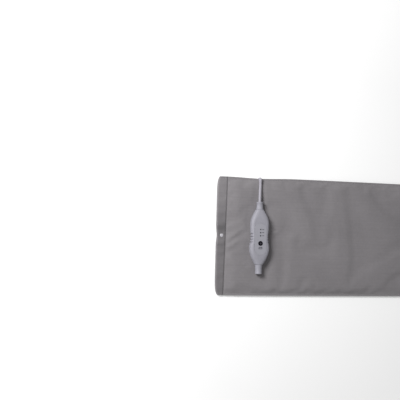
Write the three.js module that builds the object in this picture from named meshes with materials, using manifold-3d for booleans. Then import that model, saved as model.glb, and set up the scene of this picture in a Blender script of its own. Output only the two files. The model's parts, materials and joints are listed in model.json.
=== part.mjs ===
// Heating pad with a hand controller, in millimetres, +Z up.
// A fabric cover, closed at one end by a snap, holds a sealed heating layer. A short lead leaves the pad's
// long edge and carries the controller, which lies on the pad with its button and lamps facing up.
// X runs along the pad with the snap at -X, Y runs across it with the lead's outlet at +Y, and the origin is
// under the pad's middle.

import * as THREE from "three";
import { mergeVertices } from "three/addons/utils/BufferGeometryUtils.js";
import Module from "manifold-3d";

const wasm = await Module();
wasm.setup();

// Fits shared by every piece
const SEAT_GAP = 0.3; // between a piece and what it rests on or passes through
const CUT_OVERRUN = 1; // how far a cutting tool runs past the face that it opens

// Cover
const PAD_LENGTH = 609;
const PAD_WIDTH = 304;
const END_DRAW = 6; // how far the short ends are drawn in at the corners
const END_DRAW_POWER = 16; // how close to the corners that stays
const SIDE_DRAW = 1.5; // how far the long sides are drawn in at the corners
const SIDE_DRAW_POWER = 8;
const CLOTH = 1.2; // thickness of one sheet of the cover
const EDGE_LIFT = 2; // height of the sewn edges above the floor
const SIDE_RUN = 22; // width over which the cover rounds over at a sewn edge
const CROWN = 1.2; // swell of the upper sheet at the pad's middle

// Open end with its hem and snap
const HEM_WIDTH = 24; // from the open end to the hem's stitch line
const STITCH_SLANT = 0.018; // how far the stitch line leans away from the open end, per unit along it
const HEM_LIFT = 1; // height of the back hem above the floor
const MOUTH_RUN = 25; // width over which the cover rises behind the stitch line
const SNAP_INSET = 13.8; // from the open end to the snap's middle
const SNAP_PULL = 2; // how far the snap gathers the open end in
const SNAP_PULL_REACH = 14;
const CAP_DIAMETER = 9;
const CAP_HEIGHT = 1.5;
const CAP_RIM = 0.5; // height of the cap's straight rim
const SNAP_HUB_DIAMETER = 4.4;
const SOCKET_HEIGHT = 1.8;
const SOCKET_ROOF = 0.5;
const STUD_DIAMETER = 3.6;
const STUD_PLAY = 0.5; // room round the stud, so that the socket can swing off it
const STUD_STEM_DIAMETER = 2.6;
const SNAP_FLANGE = 0.6;
const BACK_RING_THICKNESS = 0.5;

// Sealed heating layer
const LAYER = 1.5;
const LAYER_LOOSE = 0.6; // room between the lower layer and the cover
const LAYER_TUCK = 1.5; // how far the layers reach into the cover's rounded edge
const LAYER_CORNER = 24;
const WIRE_DIAMETER = 2.4;
const WIRE_RUNS = 12; // an even number, so that both ends of the wire come back to the lead
const WIRE_MARGIN = 10; // from the layers' ends to the wire's turns
const JUNCTION_LENGTH = 26;
const JUNCTION_DEPTH = 16;
const SENSOR_LENGTH = 14;
const SENSOR_WIDTH = 7;
const SENSOR_X = [-60, 150];

// Lead and its outlet
const LEAD_DIAMETER = 7;
const OUTLET_INSET = 112.5; // from the pad's open end to the outlet
const OUTLET_WIDTH = 10;
const OUTLET_NOSE_WIDTH = 7.6;
const OUTLET_FLARE = 5; // from the pad's edge back to where the elbow begins to widen
const OUTLET_REACH = 3; // how far the elbow stands out past the pad's edge
const OUTLET_PULL = 3; // how far the outlet draws the pad's edge in
const OUTLET_PULL_REACH = 60;
const OUTLET_NOSE = 10.1; // from the pad's edge back to the elbow's nose
const OUTLET_WEB = 8; // from the pad's edge back to the web that joins the elbow's two legs
const OUTLET_LIFT = 13.2; // height of the lead's middle in the elbow
const OUTLET_WALL = 0.1; // how much deeper the elbow's nose is than the lead, above and below
const OUTLET_HEEL = 2; // rounding of the elbow's lower outer corner
// Points of the lead's route, from the outlet along X, from the pad's long edge along Y and from the floor
const LEAD_POINTS = [
  [0, -13.4, 13.2],
  [0, -18, 13.2],
  [-0.05, -22, 13.28],
  [-0.2, -26, 13.55],
  [-0.5, -30, 14.05],
  [-0.85, -34, 14.8],
  [-1.3, -38, 15.75],
  [-1.7, -42, 16.8],
  [-2.1, -46, 17.85],
  [-2.5, -50, 18.8],
  [-2.75, -54, 19.55],
  [-2.92, -58, 20.05],
  [-3, -62, 20.25],
  [-3, -67, 20.28],
  [-3, -72, 20.28],
  [-3, -76.4, 20.28],
];

// Controller case
const CONTROLLER_INSET = 109.5; // from the pad's open end to the controller's middle
const SEAM_INSET = 83.6; // from the pad's long edge to the seam where the upper neck meets the case
const BODY_LENGTH = 140.5; // from the upper seam to the lower seam
const UPPER_END_WIDTH = 19.8;
const UPPER_LOBE_WIDTH = 48.2;
const WAIST_WIDTH = 45.6;
const LOWER_LOBE_WIDTH = 51.4;
const LOWER_END_WIDTH = 22.6;
const UPPER_LOBE_AT = 38; // measured from the upper seam, as are the next two
const WAIST_AT = 72.5;
const LOWER_LOBE_AT = 98.5;
const FACE_HEIGHT = 12.6; // from the parting line to the flat face
const FACE_CROWN = 1; // height that the rounded top would have above the flat face
const REAR_DEPTH = 10; // from the parting line to the underside
const UPPER_END_TOP = 9.7; // height of the case above the parting line at its upper end
const UPPER_END_REAR = 9.4; // depth of the case below it there
const LOWER_END_TOP = 10.2;
const LOWER_END_REAR = 9.7;
const END_ROUNDNESS = 2.2; // section power at the ends, nearly a round
const TOP_SQUARENESS = 4; // section power of the upper half, with broad shoulders
const REAR_SQUARENESS = 3;
const WALL = 2;
const END_WALL = 3;
const PARTING_GAP = 0.3;
const FLUTES = 4;
const FLUTE_FIRST_AT = 63.5;
const FLUTE_PITCH = 6.9;
const FLUTE_RADIUS = 1.7;
const FLUTE_DEPTH = 1.1;
const FLUTE_HALF_HEIGHT = 8;

// Necks
const BORE_CLEARANCE = 0.3;
const NECK_LENGTH = 19.2;
const NECK_DIAMETER = 16;
const UPPER_SEAM_DIAMETER = 18.6;
const UPPER_FLARE = 6;
const LOWER_NECK_LENGTH = 24;
const LOWER_NECK_DIAMETER = 17.2;
const LOWER_SEAM_DIAMETER = 19.2;
const LOWER_FLARE = 7;
const FLARE_HOLLOW = 0.75; // share of a flare's narrowing that its first half takes
const NECK_CHAMFER = 0.8;
const NECK_HUB_DIAMETER = 10;
const NECK_FLANGE_DIAMETER = 13;
const NECK_FLANGE = 2;

// Face, button and lamps
const PANEL_WIDTH = 32;
const PANEL_LENGTH = 82;
const PANEL_AT = 34.8; // from the upper seam to the panel's upper end
const PANEL_THICKNESS = 0.6;
const LED_DIAMETER = 3;
const LED_COLLAR_DIAMETER = 3.8;
const LED_COLLAR = 1;
const LED_DOME = 0.5; // height of the lamp's rounded top above the face
const LED_FIRST_AT = 51.4;
const LED_PITCH = 7.9;
const LED_NAMES = ["led_high", "led_medium", "led_low"];
const BUTTON_DIAMETER = 11.5;
const BUTTON_AT = 86.6;
const BUTTON_PROUD = 1; // height of the button above the face
const BUTTON_TRAVEL = 1;
const BUTTON_FLANGE = 0.8;
const BUTTON_FLANGE_LAP = 1.3; // how far the flange reaches under the case
const BUTTON_STEM_DIAMETER = 5;
const BUTTON_STEM = 0.6; // length of the stem under the flange
const BUTTON_EDGE = 0.6; // rounding of the button's rim

// Circuit board and what it carries
const BOARD_THICKNESS = 1.4;
const BOARD_WIDTH = 34;
const BOARD_AT = 30.5; // from the upper seam to the board's upper end
const BOARD_LENGTH = 81;
const BOARD_CORNER = 2;
const POST_DIAMETER = 5;
const POST_X = 13;
const POST_INSET = 7; // from the board's ends to the posts
const SWITCH_SIZE = 6;
const SWITCH_HEIGHT = 3.5;
const PLUNGER_DIAMETER = 3.2;
const PLUNGER_DEPTH = 0.6; // length of the plunger inside the switch at rest
const CHIP_WIDTH = 6;
const CHIP_LENGTH = 10;
const CHIP_HEIGHT = 1.6;
const CHIP_AT = 100;
const TRIAC_WIDTH = 10;
const TRIAC_LENGTH = 15;
const TRIAC_HEIGHT = 4.5;
const TRIAC_AT = 88;
const TRIAC_X = -7;
const CAPACITOR_WIDTH = 6;
const CAPACITOR_LENGTH = 13;
const CAPACITOR_HEIGHT = 7;
const CAPACITOR_AT = 88;
const CAPACITOR_X = 7;
const FUSE_DIAMETER = 5;
const FUSE_LENGTH = 20;
const FUSE_AT = 62;
const FUSE_X = 7;
const CORE_DIAMETER = 1.8;
const CORE_SPACING = 3.2;
const CORE_LANDING = 6; // length of each core under the board
const CORE_SLOPE = 12; // length over which each core comes up to the board
const CORE_START = 6.9; // from the upper seam out to the cores' ends in the neck

// Case screws
const SCREW_X = 11;
const UPPER_SCREW_INSET = 24; // from the upper seam
const LOWER_SCREW_INSET = 22.5; // from the lower seam
const SCREW_DIAMETER = 2.4;
const SCREW_HEAD_DIAMETER = 5.2;
const SCREW_HEAD = 1.4;
const SCREW_REACH = 5.5; // how far the screws go into the front bosses
const SCREW_TIP_ROOM = 1;
const SCREW_SEAT = 7; // depth of the screw head's seat below the parting line
const BOSS_DIAMETER = 7.2;

// Facets
const ROUND_SIDES = 20;
const SMALL_SIDES = 12;
const CURVE_STEPS = 8;
const SECTION_POINTS = 28;

// Heights and places that follow from the sizes above
const HALF_LENGTH = PAD_LENGTH / 2;
const HALF_WIDTH = PAD_WIDTH / 2;
const STITCH_X = HEM_WIDTH - HALF_LENGTH;
const SNAP_X = SNAP_INSET - HALF_LENGTH;
const OUTLET_X = OUTLET_INSET - HALF_LENGTH;
const CONTROLLER_X = CONTROLLER_INSET - HALF_LENGTH;
const UPPER_SEAM_Y = HALF_WIDTH - SEAM_INSET;
const HINGE_GAP = CLOTH + SEAT_GAP; // lets the hem swing up about its stitch line
const EDGE_UNDER = EDGE_LIFT + CLOTH + SEAT_GAP;
const STUD_SEAT = HEM_LIFT + CLOTH + SEAT_GAP;
const SOCKET_SEAT = STUD_SEAT + SNAP_FLANGE + SEAT_GAP;
const HEM_UNDER = SOCKET_SEAT + SOCKET_HEIGHT + SEAT_GAP;
const LOWER_LAYER_Z = CLOTH + LAYER_LOOSE;
const WIRE_UNDER = LOWER_LAYER_Z + LAYER + SEAT_GAP;
const WIRE_OVER = WIRE_UNDER + WIRE_DIAMETER;
const UPPER_LAYER_Z = WIRE_OVER + SEAT_GAP;
const FRONT_UNDER = UPPER_LAYER_Z + LAYER + SEAT_GAP;
const LAYER_LEFT = STITCH_X + STITCH_SLANT * HALF_WIDTH + MOUTH_RUN - LAYER_TUCK;
const LAYER_RIGHT = HALF_LENGTH - END_DRAW - SIDE_RUN + LAYER_TUCK;
const LAYER_SIDE = HALF_WIDTH - SIDE_DRAW - SIDE_RUN + LAYER_TUCK;
const BORE_DIAMETER = LEAD_DIAMETER + 2 * BORE_CLEARANCE;
const SCREW_AT = [UPPER_SCREW_INSET, BODY_LENGTH - LOWER_SCREW_INSET];
const POCKET_DEPTH = PANEL_THICKNESS + SEAT_GAP;
const CAVITY_TOP = FACE_HEIGHT - POCKET_DEPTH - WALL;
const BUTTON_SEAT = CAVITY_TOP - SEAT_GAP; // top of the button's flange, under the case
const STEM_END = BUTTON_SEAT - BUTTON_FLANGE - BUTTON_STEM;
const PLUNGER_TOP = STEM_END - SEAT_GAP;
const SWITCH_TOP = PLUNGER_TOP - BUTTON_TRAVEL - SEAT_GAP;
const BOARD_TOP = SWITCH_TOP - SWITCH_HEIGHT - SEAT_GAP;
const BOARD_UNDER = BOARD_TOP - BOARD_THICKNESS;
const CONTROLLER_Z = frontUnder(CONTROLLER_X, 0) + CLOTH + SEAT_GAP + REAR_DEPTH;

// Finishes
function finish(color, roughness, metalness = 0) {
  return new THREE.MeshStandardMaterial({ color, roughness, metalness });
}
const FABRIC = finish(0x848185, 0.95);
const LAYER_VINYL = finish(0xd8d6cf, 0.6);
const WHITE_PLASTIC = finish(0xc9c7cf, 0.45);
const PANEL_FILM = finish(0xc4c3ca, 0.55);
const LEAD_VINYL = finish(0xcfcdd6, 0.5);
const BLACK_PLASTIC = finish(0x17151f, 0.4);
const LAMP = finish(0x2b2a2e, 0.2);
const SNAP_PLASTIC = finish(0xdcdae0, 0.35);
const BOARD_GREEN = finish(0x2f6b45, 0.6);
const STEEL = finish(0xb4b6ba, 0.35, 1);
const CORE_RED = finish(0x9c2f2b, 0.5);
const CORE_BLACK = finish(0x2a2a2c, 0.5);
const COPPER_WIRE = finish(0xb9b3a6, 0.6);

const part = new THREE.Group();

function add(name, geometry, material, parent = part) {
  const mesh = new THREE.Mesh(geometry, material);
  mesh.name = name;
  parent.add(mesh);
  return mesh;
}

// Solids and cuts

function solid(geometry) {
  const bare = new THREE.BufferGeometry();
  bare.setAttribute("position", geometry.getAttribute("position"));
  bare.setIndex(geometry.getIndex());
  const merged = mergeVertices(bare, 1e-4);
  return new wasm.Manifold(
    new wasm.Mesh({
      numProp: 3,
      vertProperties: new Float32Array(merged.getAttribute("position").array),
      triVerts: new Uint32Array(merged.getIndex().array),
    }),
  );
}

function surface(manifold) {
  const mesh = manifold.getMesh();
  const geometry = new THREE.BufferGeometry();
  geometry.setAttribute("position", new THREE.BufferAttribute(mesh.vertProperties, 3));
  geometry.setIndex(new THREE.BufferAttribute(mesh.triVerts, 1));
  geometry.computeVertexNormals();
  return geometry;
}

function cut(body, tools) {
  return tools.reduce((rest, tool) => rest.subtract(solid(tool)), body);
}

// Simple shapes

function lerp(a, b, t) {
  return a + (b - a) * t;
}

function box(width, depth, low, high, x = 0, y = 0) {
  return new THREE.BoxGeometry(width, depth, high - low).translate(x, y, (low + high) / 2);
}

function upright(diameter, low, high, x, y, sides = SMALL_SIDES) {
  const geometry = new THREE.CylinderGeometry(diameter / 2, diameter / 2, high - low, sides);
  return geometry.rotateX(Math.PI / 2).translate(x, y, (low + high) / 2);
}

// Points of a dome's outside from its rim up to its top, for a turned piece.
function dome(radius, base, height) {
  const steps = 4;
  return Array.from({ length: steps + 1 }, (unused, i) => {
    const angle = (Math.PI * i) / (2 * steps);
    return [i === steps ? 0 : radius * Math.cos(angle), base + height * Math.sin(angle)];
  });
}

// A turned piece standing on +Z, from [radius, height] points that go up its outside.
function turned(profile, x, y, sides = ROUND_SIDES) {
  const points = profile.map(([radius, height]) => new THREE.Vector2(radius, height));
  return new THREE.LatheGeometry(points, sides).rotateX(Math.PI / 2).translate(x, y, 0);
}

function prism(shape, low, high, curveSegments = CURVE_STEPS) {
  const geometry = new THREE.ExtrudeGeometry(shape, {
    depth: high - low,
    curveSegments,
    bevelEnabled: false,
  });
  return geometry.translate(0, 0, low);
}

function roundedRectangle(left, right, low, high, radius) {
  const shape = new THREE.Shape();
  shape.moveTo(left + radius, low);
  shape.lineTo(right - radius, low);
  shape.absarc(right - radius, low + radius, radius, -Math.PI / 2, 0);
  shape.lineTo(right, high - radius);
  shape.absarc(right - radius, high - radius, radius, 0, Math.PI / 2);
  shape.lineTo(left + radius, high);
  shape.absarc(left + radius, high - radius, radius, Math.PI / 2, Math.PI);
  shape.lineTo(left, low + radius);
  shape.absarc(left + radius, low + radius, radius, Math.PI, 1.5 * Math.PI);
  return shape;
}

function regularSection(diameter, sides) {
  const points = [];
  for (let i = 0; i < sides; i += 1) {
    const angle = (2 * Math.PI * i) / sides;
    points.push(new THREE.Vector2(Math.cos(angle), Math.sin(angle)).multiplyScalar(diameter / 2));
  }
  return new THREE.Shape(points);
}

function tube(path, diameter, sides, steps) {
  return new THREE.ExtrudeGeometry(regularSection(diameter, sides), {
    steps,
    extrudePath: path,
    bevelEnabled: false,
  });
}

// A path of straight pieces whose tube has one ring at each point.
class PointPath extends THREE.Curve {
  constructor(points) {
    super();
    this.points = points;
  }

  getPoint(t, target = new THREE.Vector3()) {
    const place = t * (this.points.length - 1);
    const index = Math.min(Math.floor(place), this.points.length - 2);
    return target.lerpVectors(this.points[index], this.points[index + 1], place - index);
  }

  getUtoTmapping(u) {
    return u;
  }
}

// A closed skin over rings of points, each ring with the same count, closed by a fan at both ends.
function loft(rings) {
  const count = rings[0].length;
  const positions = rings.flat().flatMap((point) => point.toArray());
  const index = [];
  for (let ring = 0; ring + 1 < rings.length; ring += 1) {
    for (let i = 0; i < count; i += 1) {
      const a = ring * count + i;
      const b = ring * count + ((i + 1) % count);
      index.push(a, b, a + count, b, b + count, a + count);
    }
  }
  const closeEnd = (first, reverse) => {
    const middle = positions.length / 3;
    const centre = new THREE.Vector3();
    for (let i = 0; i < count; i += 1) {
      centre.add(new THREE.Vector3().fromArray(positions, 3 * (first + i)));
    }
    positions.push(...centre.divideScalar(count).toArray());
    for (let i = 0; i < count; i += 1) {
      const a = first + i;
      const b = first + ((i + 1) % count);
      index.push(...(reverse ? [b, a, middle] : [a, b, middle]));
    }
  };
  closeEnd(0, true);
  closeEnd((rings.length - 1) * count, false);
  const geometry = new THREE.BufferGeometry();
  geometry.setAttribute("position", new THREE.Float32BufferAttribute(positions, 3));
  geometry.setIndex(index);
  return geometry;
}

// A closed sheet of cloth over a grid: place(i, j) gives a point of its underside, and it is CLOTH thick.
function clothSheet(columns, rows, place) {
  const positions = [];
  for (const lift of [0, CLOTH]) {
    for (let i = 0; i <= columns; i += 1) {
      for (let j = 0; j <= rows; j += 1) {
        const point = place(i, j);
        positions.push(point.x, point.y, point.z + lift);
      }
    }
  }
  const at = (layer, i, j) => (layer * (columns + 1) + i) * (rows + 1) + j;
  const index = [];
  const quad = (a, b, c, d) => index.push(a, b, c, a, c, d);
  for (let i = 0; i < columns; i += 1) {
    for (let j = 0; j < rows; j += 1) {
      quad(at(1, i, j), at(1, i + 1, j), at(1, i + 1, j + 1), at(1, i, j + 1));
      quad(at(0, i, j), at(0, i, j + 1), at(0, i + 1, j + 1), at(0, i + 1, j));
    }
  }
  for (let i = 0; i < columns; i += 1) {
    quad(at(0, i, 0), at(0, i + 1, 0), at(1, i + 1, 0), at(1, i, 0));
    quad(at(0, i, rows), at(1, i, rows), at(1, i + 1, rows), at(0, i + 1, rows));
  }
  for (let j = 0; j < rows; j += 1) {
    quad(at(0, 0, j), at(1, 0, j), at(1, 0, j + 1), at(0, 0, j + 1));
    quad(at(0, columns, j), at(0, columns, j + 1), at(1, columns, j + 1), at(1, columns, j));
  }
  const geometry = new THREE.BufferGeometry();
  geometry.setAttribute("position", new THREE.Float32BufferAttribute(positions, 3));
  geometry.setIndex(index);
  return geometry;
}

// Shape of the cover. A place on it is x along the pad and v across it, from -1 to 1.

function endReach(v) {
  return HALF_LENGTH - END_DRAW * v ** END_DRAW_POWER;
}

function openEnd(v) {
  const gather = SNAP_PULL * Math.exp(-(((v * HALF_WIDTH) / SNAP_PULL_REACH) ** 2));
  return gather - endReach(v);
}

function sideReach(x, v) {
  const pull = v > 0 ? OUTLET_PULL * Math.exp(-(((x - OUTLET_X) / OUTLET_PULL_REACH) ** 2)) : 0;
  return HALF_WIDTH - SIDE_DRAW * (x / HALF_LENGTH) ** SIDE_DRAW_POWER - pull;
}

function stitchLine(v) {
  return STITCH_X + STITCH_SLANT * HALF_WIDTH * v;
}

// 0 at an edge, 1 where the cover has come to its full height.
function rise(distance, run) {
  const short = 1 - Math.min(Math.max(distance / run, 0), 1);
  return 1 - short * short;
}

function fullness(x, v) {
  const fromSide = sideReach(x, v) * (1 - Math.abs(v));
  return rise(fromSide, SIDE_RUN) * rise(endReach(v) - x, SIDE_RUN);
}

function frontUnder(x, v) {
  const mouth = rise(x - stitchLine(v), MOUTH_RUN);
  const swell = CROWN * mouth * (1 - (x / HALF_LENGTH) ** 2) * (1 - v * v);
  const level = lerp(HEM_UNDER, FRONT_UNDER, mouth) + swell;
  return lerp(EDGE_UNDER, level, fullness(x, v));
}

function backUnder(x, v) {
  const mouth = rise(x - stitchLine(v), MOUTH_RUN);
  return lerp(EDGE_LIFT, HEM_LIFT * (1 - mouth), fullness(x, v));
}

function coverPoint(x, v, under) {
  return new THREE.Vector3(x, v * sideReach(x, v), under(x, v));
}

// Places from 0 to length: steps close together in a run at each end, and even ones between the runs.
function stations(length, firstRun, firstSteps, middleSteps, lastRun, lastSteps) {
  const places = [];
  for (let i = 0; i < firstSteps; i += 1) {
    places.push((firstRun * i) / firstSteps);
  }
  for (let i = 0; i < middleSteps; i += 1) {
    places.push(firstRun + ((length - firstRun - lastRun) * i) / middleSteps);
  }
  for (let i = 0; i <= lastSteps; i += 1) {
    places.push(length - lastRun + (lastRun * i) / lastSteps);
  }
  return places;
}

const ACROSS = stations(PAD_WIDTH, SIDE_RUN, 5, 8, SIDE_RUN, 5).map((place) => (2 * place) / PAD_WIDTH - 1);

function makeCover() {
  const frontLength = HALF_LENGTH - STITCH_X - HINGE_GAP / 2;
  const along = stations(frontLength, MOUTH_RUN, 6, 12, SIDE_RUN, 5);
  const frontSheet = clothSheet(along.length - 1, ACROSS.length - 1, (i, j) => {
    const v = ACROSS[j];
    const x = lerp(stitchLine(v) + HINGE_GAP / 2, endReach(v), along[i] / frontLength);
    return coverPoint(x, v, frontUnder);
  });
  const slot = box(
    OUTLET_WIDTH + 2 * SEAT_GAP,
    2 * (OUTLET_WEB + SEAT_GAP),
    0,
    FRONT_UNDER + CROWN + CLOTH,
    OUTLET_X,
    sideReach(OUTLET_X, 1),
  );
  add("cover_front_panel", surface(cut(solid(frontSheet), [slot])), FABRIC);

  const hemSteps = 4;
  const hemSheet = clothSheet(hemSteps, ACROSS.length - 1, (i, j) => {
    const v = ACROSS[j];
    const x = lerp(openEnd(v), stitchLine(v) - HINGE_GAP / 2, i / hemSteps);
    return coverPoint(x, v, frontUnder);
  });
  const capHole = upright(SNAP_HUB_DIAMETER + 2 * SEAT_GAP, 0, FRONT_UNDER, SNAP_X, 0);
  add("cover_front_hem", surface(cut(solid(hemSheet), [capHole])), FABRIC);

  const backRun = HEM_WIDTH + MOUTH_RUN;
  const backAlong = stations(PAD_LENGTH, backRun, 7, 4, SIDE_RUN, 4);
  const backSheet = clothSheet(backAlong.length - 1, ACROSS.length - 1, (i, j) => {
    const v = ACROSS[j];
    const x = lerp(openEnd(v), endReach(v), backAlong[i] / PAD_LENGTH);
    return coverPoint(x, v, backUnder);
  });
  const stemHole = upright(STUD_STEM_DIAMETER + 2 * SEAT_GAP, 0, STUD_SEAT, SNAP_X, 0);
  add("cover_back_panel", surface(cut(solid(backSheet), [stemHole])), FABRIC);
}

function makeSnap() {
  const capSeat = HEM_UNDER + CLOTH + SEAT_GAP;
  const capRadius = CAP_DIAMETER / 2;
  const cap = [
    [0, HEM_UNDER],
    [SNAP_HUB_DIAMETER / 2, HEM_UNDER],
    [SNAP_HUB_DIAMETER / 2, capSeat],
    [capRadius, capSeat],
    ...dome(capRadius, capSeat + CAP_RIM, CAP_HEIGHT - CAP_RIM),
  ];
  add("snap_cap", turned(cap, SNAP_X, 0), SNAP_PLASTIC);

  const well = STUD_DIAMETER / 2 + STUD_PLAY;
  const socketTop = SOCKET_SEAT + SOCKET_HEIGHT;
  const socket = [
    [0, socketTop - SOCKET_ROOF],
    [well, socketTop - SOCKET_ROOF],
    [well, SOCKET_SEAT],
    [capRadius, SOCKET_SEAT],
    [capRadius, socketTop],
    [0, socketTop],
  ];
  add("snap_socket", turned(socket, SNAP_X, 0), SNAP_PLASTIC);

  const studTop = socketTop - SOCKET_ROOF - SEAT_GAP;
  const studDome = (studTop - STUD_SEAT - SNAP_FLANGE) / 2;
  const stud = [
    [0, HEM_LIFT],
    [STUD_STEM_DIAMETER / 2, HEM_LIFT],
    [STUD_STEM_DIAMETER / 2, STUD_SEAT],
    [capRadius, STUD_SEAT],
    [capRadius, STUD_SEAT + SNAP_FLANGE],
    [STUD_STEM_DIAMETER / 2, STUD_SEAT + SNAP_FLANGE],
    ...dome(STUD_DIAMETER / 2, studTop - studDome, studDome),
  ];
  add("snap_stud", turned(stud, SNAP_X, 0), SNAP_PLASTIC);

  const ringTop = HEM_LIFT - SEAT_GAP;
  const ring = upright(CAP_DIAMETER, ringTop - BACK_RING_THICKNESS, ringTop, SNAP_X, 0, ROUND_SIDES);
  add("snap_back_ring", ring, SNAP_PLASTIC);
}

function makeHeatingLayer() {
  const outline = roundedRectangle(LAYER_LEFT, LAYER_RIGHT, -LAYER_SIDE, LAYER_SIDE, LAYER_CORNER);
  const cornerSteps = 4;
  const lowerLayer = prism(outline, LOWER_LAYER_Z, LOWER_LAYER_Z + LAYER, cornerSteps);
  add("inner_pad_lower_layer", lowerLayer, LAYER_VINYL);
  const upperLayer = prism(outline, UPPER_LAYER_Z, UPPER_LAYER_Z + LAYER, cornerSteps);
  add("inner_pad_upper_layer", upperLayer, LAYER_VINYL);

  const junctionY = LAYER_SIDE - JUNCTION_DEPTH / 2;
  const junction = box(JUNCTION_LENGTH, JUNCTION_DEPTH, WIRE_UNDER, WIRE_OVER, OUTLET_X, junctionY);
  add("junction_block", junction, LEAD_VINYL);

  const highRun = junctionY;
  const pitch = (2 * highRun) / (WIRE_RUNS - 1);
  const turn = pitch / 2;
  const turnSteps = 6;
  const rightTurn = LAYER_RIGHT - WIRE_MARGIN - turn;
  const leftTurn = LAYER_LEFT + WIRE_MARGIN + pitch + turn;
  const returnX = LAYER_LEFT + WIRE_MARGIN;
  const height = WIRE_UNDER + WIRE_DIAMETER / 2;
  const blockSide = JUNCTION_LENGTH / 2 + SEAT_GAP;
  const points = [new THREE.Vector3(OUTLET_X + blockSide, highRun, height)];
  const bend = (x, y, from, sweep, radius) => {
    for (let i = 0; i <= turnSteps; i += 1) {
      const angle = from + (sweep * i) / turnSteps;
      points.push(new THREE.Vector3(x + radius * Math.cos(angle), y + radius * Math.sin(angle), height));
    }
  };
  for (let run = 0; run + 1 < WIRE_RUNS; run += 1) {
    const middle = highRun - pitch * run - turn;
    if (run % 2 === 0) {
      bend(rightTurn, middle, Math.PI / 2, -Math.PI, turn);
    } else {
      bend(leftTurn, middle, Math.PI / 2, Math.PI, turn);
    }
  }
  bend(returnX + turn, turn - highRun, 1.5 * Math.PI, -Math.PI / 2, turn);
  bend(returnX + turn, highRun - turn, Math.PI, -Math.PI / 2, turn);
  points.push(new THREE.Vector3(OUTLET_X - blockSide, highRun, height));
  const wireSides = 6;
  const wire = tube(new PointPath(points), WIRE_DIAMETER, wireSides, points.length - 1);
  add("heating_wire", wire, COPPER_WIRE);

  const sensorY = highRun - pitch * (WIRE_RUNS / 2 - 0.5);
  const sensorNames = ["heat_sensor_left", "heat_sensor_right"];
  sensorNames.forEach((name, i) => {
    const sensor = box(SENSOR_LENGTH, SENSOR_WIDTH, WIRE_UNDER, WIRE_OVER, SENSOR_X[i], sensorY);
    add(name, sensor, BLACK_PLASTIC);
  });
}

// The elbow's side view, in Y and Z. Its lower leg runs in under the cover to the junction block, its web
// passes the pad's edge, and its nose points back over the pad.
function outletSideView(edge) {
  const legEnd = LAYER_SIDE + SEAT_GAP;
  const outer = edge + OUTLET_REACH;
  const half = LEAD_DIAMETER / 2 + OUTLET_WALL;
  const shape = new THREE.Shape();
  shape.moveTo(legEnd, WIRE_UNDER);
  shape.lineTo(outer - OUTLET_HEEL, WIRE_UNDER);
  shape.absarc(outer - OUTLET_HEEL, WIRE_UNDER + OUTLET_HEEL, OUTLET_HEEL, -Math.PI / 2, 0);
  shape.lineTo(outer, OUTLET_LIFT);
  shape.absarc(outer - half, OUTLET_LIFT, half, 0, Math.PI / 2);
  shape.lineTo(edge - OUTLET_NOSE, OUTLET_LIFT + half);
  shape.lineTo(edge - OUTLET_NOSE, OUTLET_LIFT - half);
  shape.lineTo(edge - OUTLET_WEB, OUTLET_LIFT - half);
  shape.lineTo(edge - OUTLET_WEB, WIRE_OVER);
  shape.lineTo(legEnd, WIRE_OVER);
  return shape;
}

// The elbow's plan, wide past the pad's edge and narrower at its nose.
function outletPlan(edge) {
  const wide = OUTLET_WIDTH / 2;
  const narrow = OUTLET_NOSE_WIDTH / 2;
  const far = edge + OUTLET_REACH + CUT_OVERRUN;
  const near = LAYER_SIDE;
  return new THREE.Shape([
    new THREE.Vector2(OUTLET_X - narrow, near),
    new THREE.Vector2(OUTLET_X + narrow, near),
    new THREE.Vector2(OUTLET_X + narrow, edge - OUTLET_FLARE),
    new THREE.Vector2(OUTLET_X + wide, edge),
    new THREE.Vector2(OUTLET_X + wide, far),
    new THREE.Vector2(OUTLET_X - wide, far),
    new THREE.Vector2(OUTLET_X - wide, edge),
    new THREE.Vector2(OUTLET_X - narrow, edge - OUTLET_FLARE),
  ]);
}

function makeLead() {
  const edge = sideReach(OUTLET_X, 1);
  const bendSteps = 5;
  const side = prism(outletSideView(edge), -OUTLET_WIDTH / 2, OUTLET_WIDTH / 2, bendSteps);
  side.rotateY(Math.PI / 2).rotateX(Math.PI / 2).translate(OUTLET_X, 0, 0);
  const plan = prism(outletPlan(edge), 0, OUTLET_LIFT + LEAD_DIAMETER);
  add("lead_outlet", surface(solid(side).intersect(solid(plan))), LEAD_VINYL);

  const route = new THREE.CatmullRomCurve3(
    LEAD_POINTS.map(([x, y, z]) => new THREE.Vector3(OUTLET_X + x, HALF_WIDTH + y, z)),
  );
  const leadSteps = 10;
  add("pad_lead", tube(route, LEAD_DIAMETER, SMALL_SIDES, leadSteps), LEAD_VINYL);
}

// Shape of the controller's case. A place along it is s, from the upper seam at 0 to the lower seam, and the
// case lies along -Y of the controller's own group, whose origin is on the parting line at the upper seam.

// 0 at the ends of the case, 1 between its two lobes.
function shoulder(s) {
  const fromUpper = s / UPPER_LOBE_AT;
  const fromLower = (BODY_LENGTH - s) / (BODY_LENGTH - LOWER_LOBE_AT);
  return Math.sin((Math.PI / 2) * Math.min(1, fromUpper, fromLower));
}

function ease(from, to, s) {
  return (1 - Math.cos((Math.PI * (s - from)) / (to - from))) / 2;
}

function caseWidth(s) {
  if (s < UPPER_LOBE_AT) {
    return lerp(UPPER_END_WIDTH, UPPER_LOBE_WIDTH, shoulder(s));
  }
  if (s < WAIST_AT) {
    return lerp(UPPER_LOBE_WIDTH, WAIST_WIDTH, ease(UPPER_LOBE_AT, WAIST_AT, s));
  }
  if (s < LOWER_LOBE_AT) {
    return lerp(WAIST_WIDTH, LOWER_LOBE_WIDTH, ease(WAIST_AT, LOWER_LOBE_AT, s));
  }
  return lerp(LOWER_END_WIDTH, LOWER_LOBE_WIDTH, shoulder(s));
}

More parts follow.
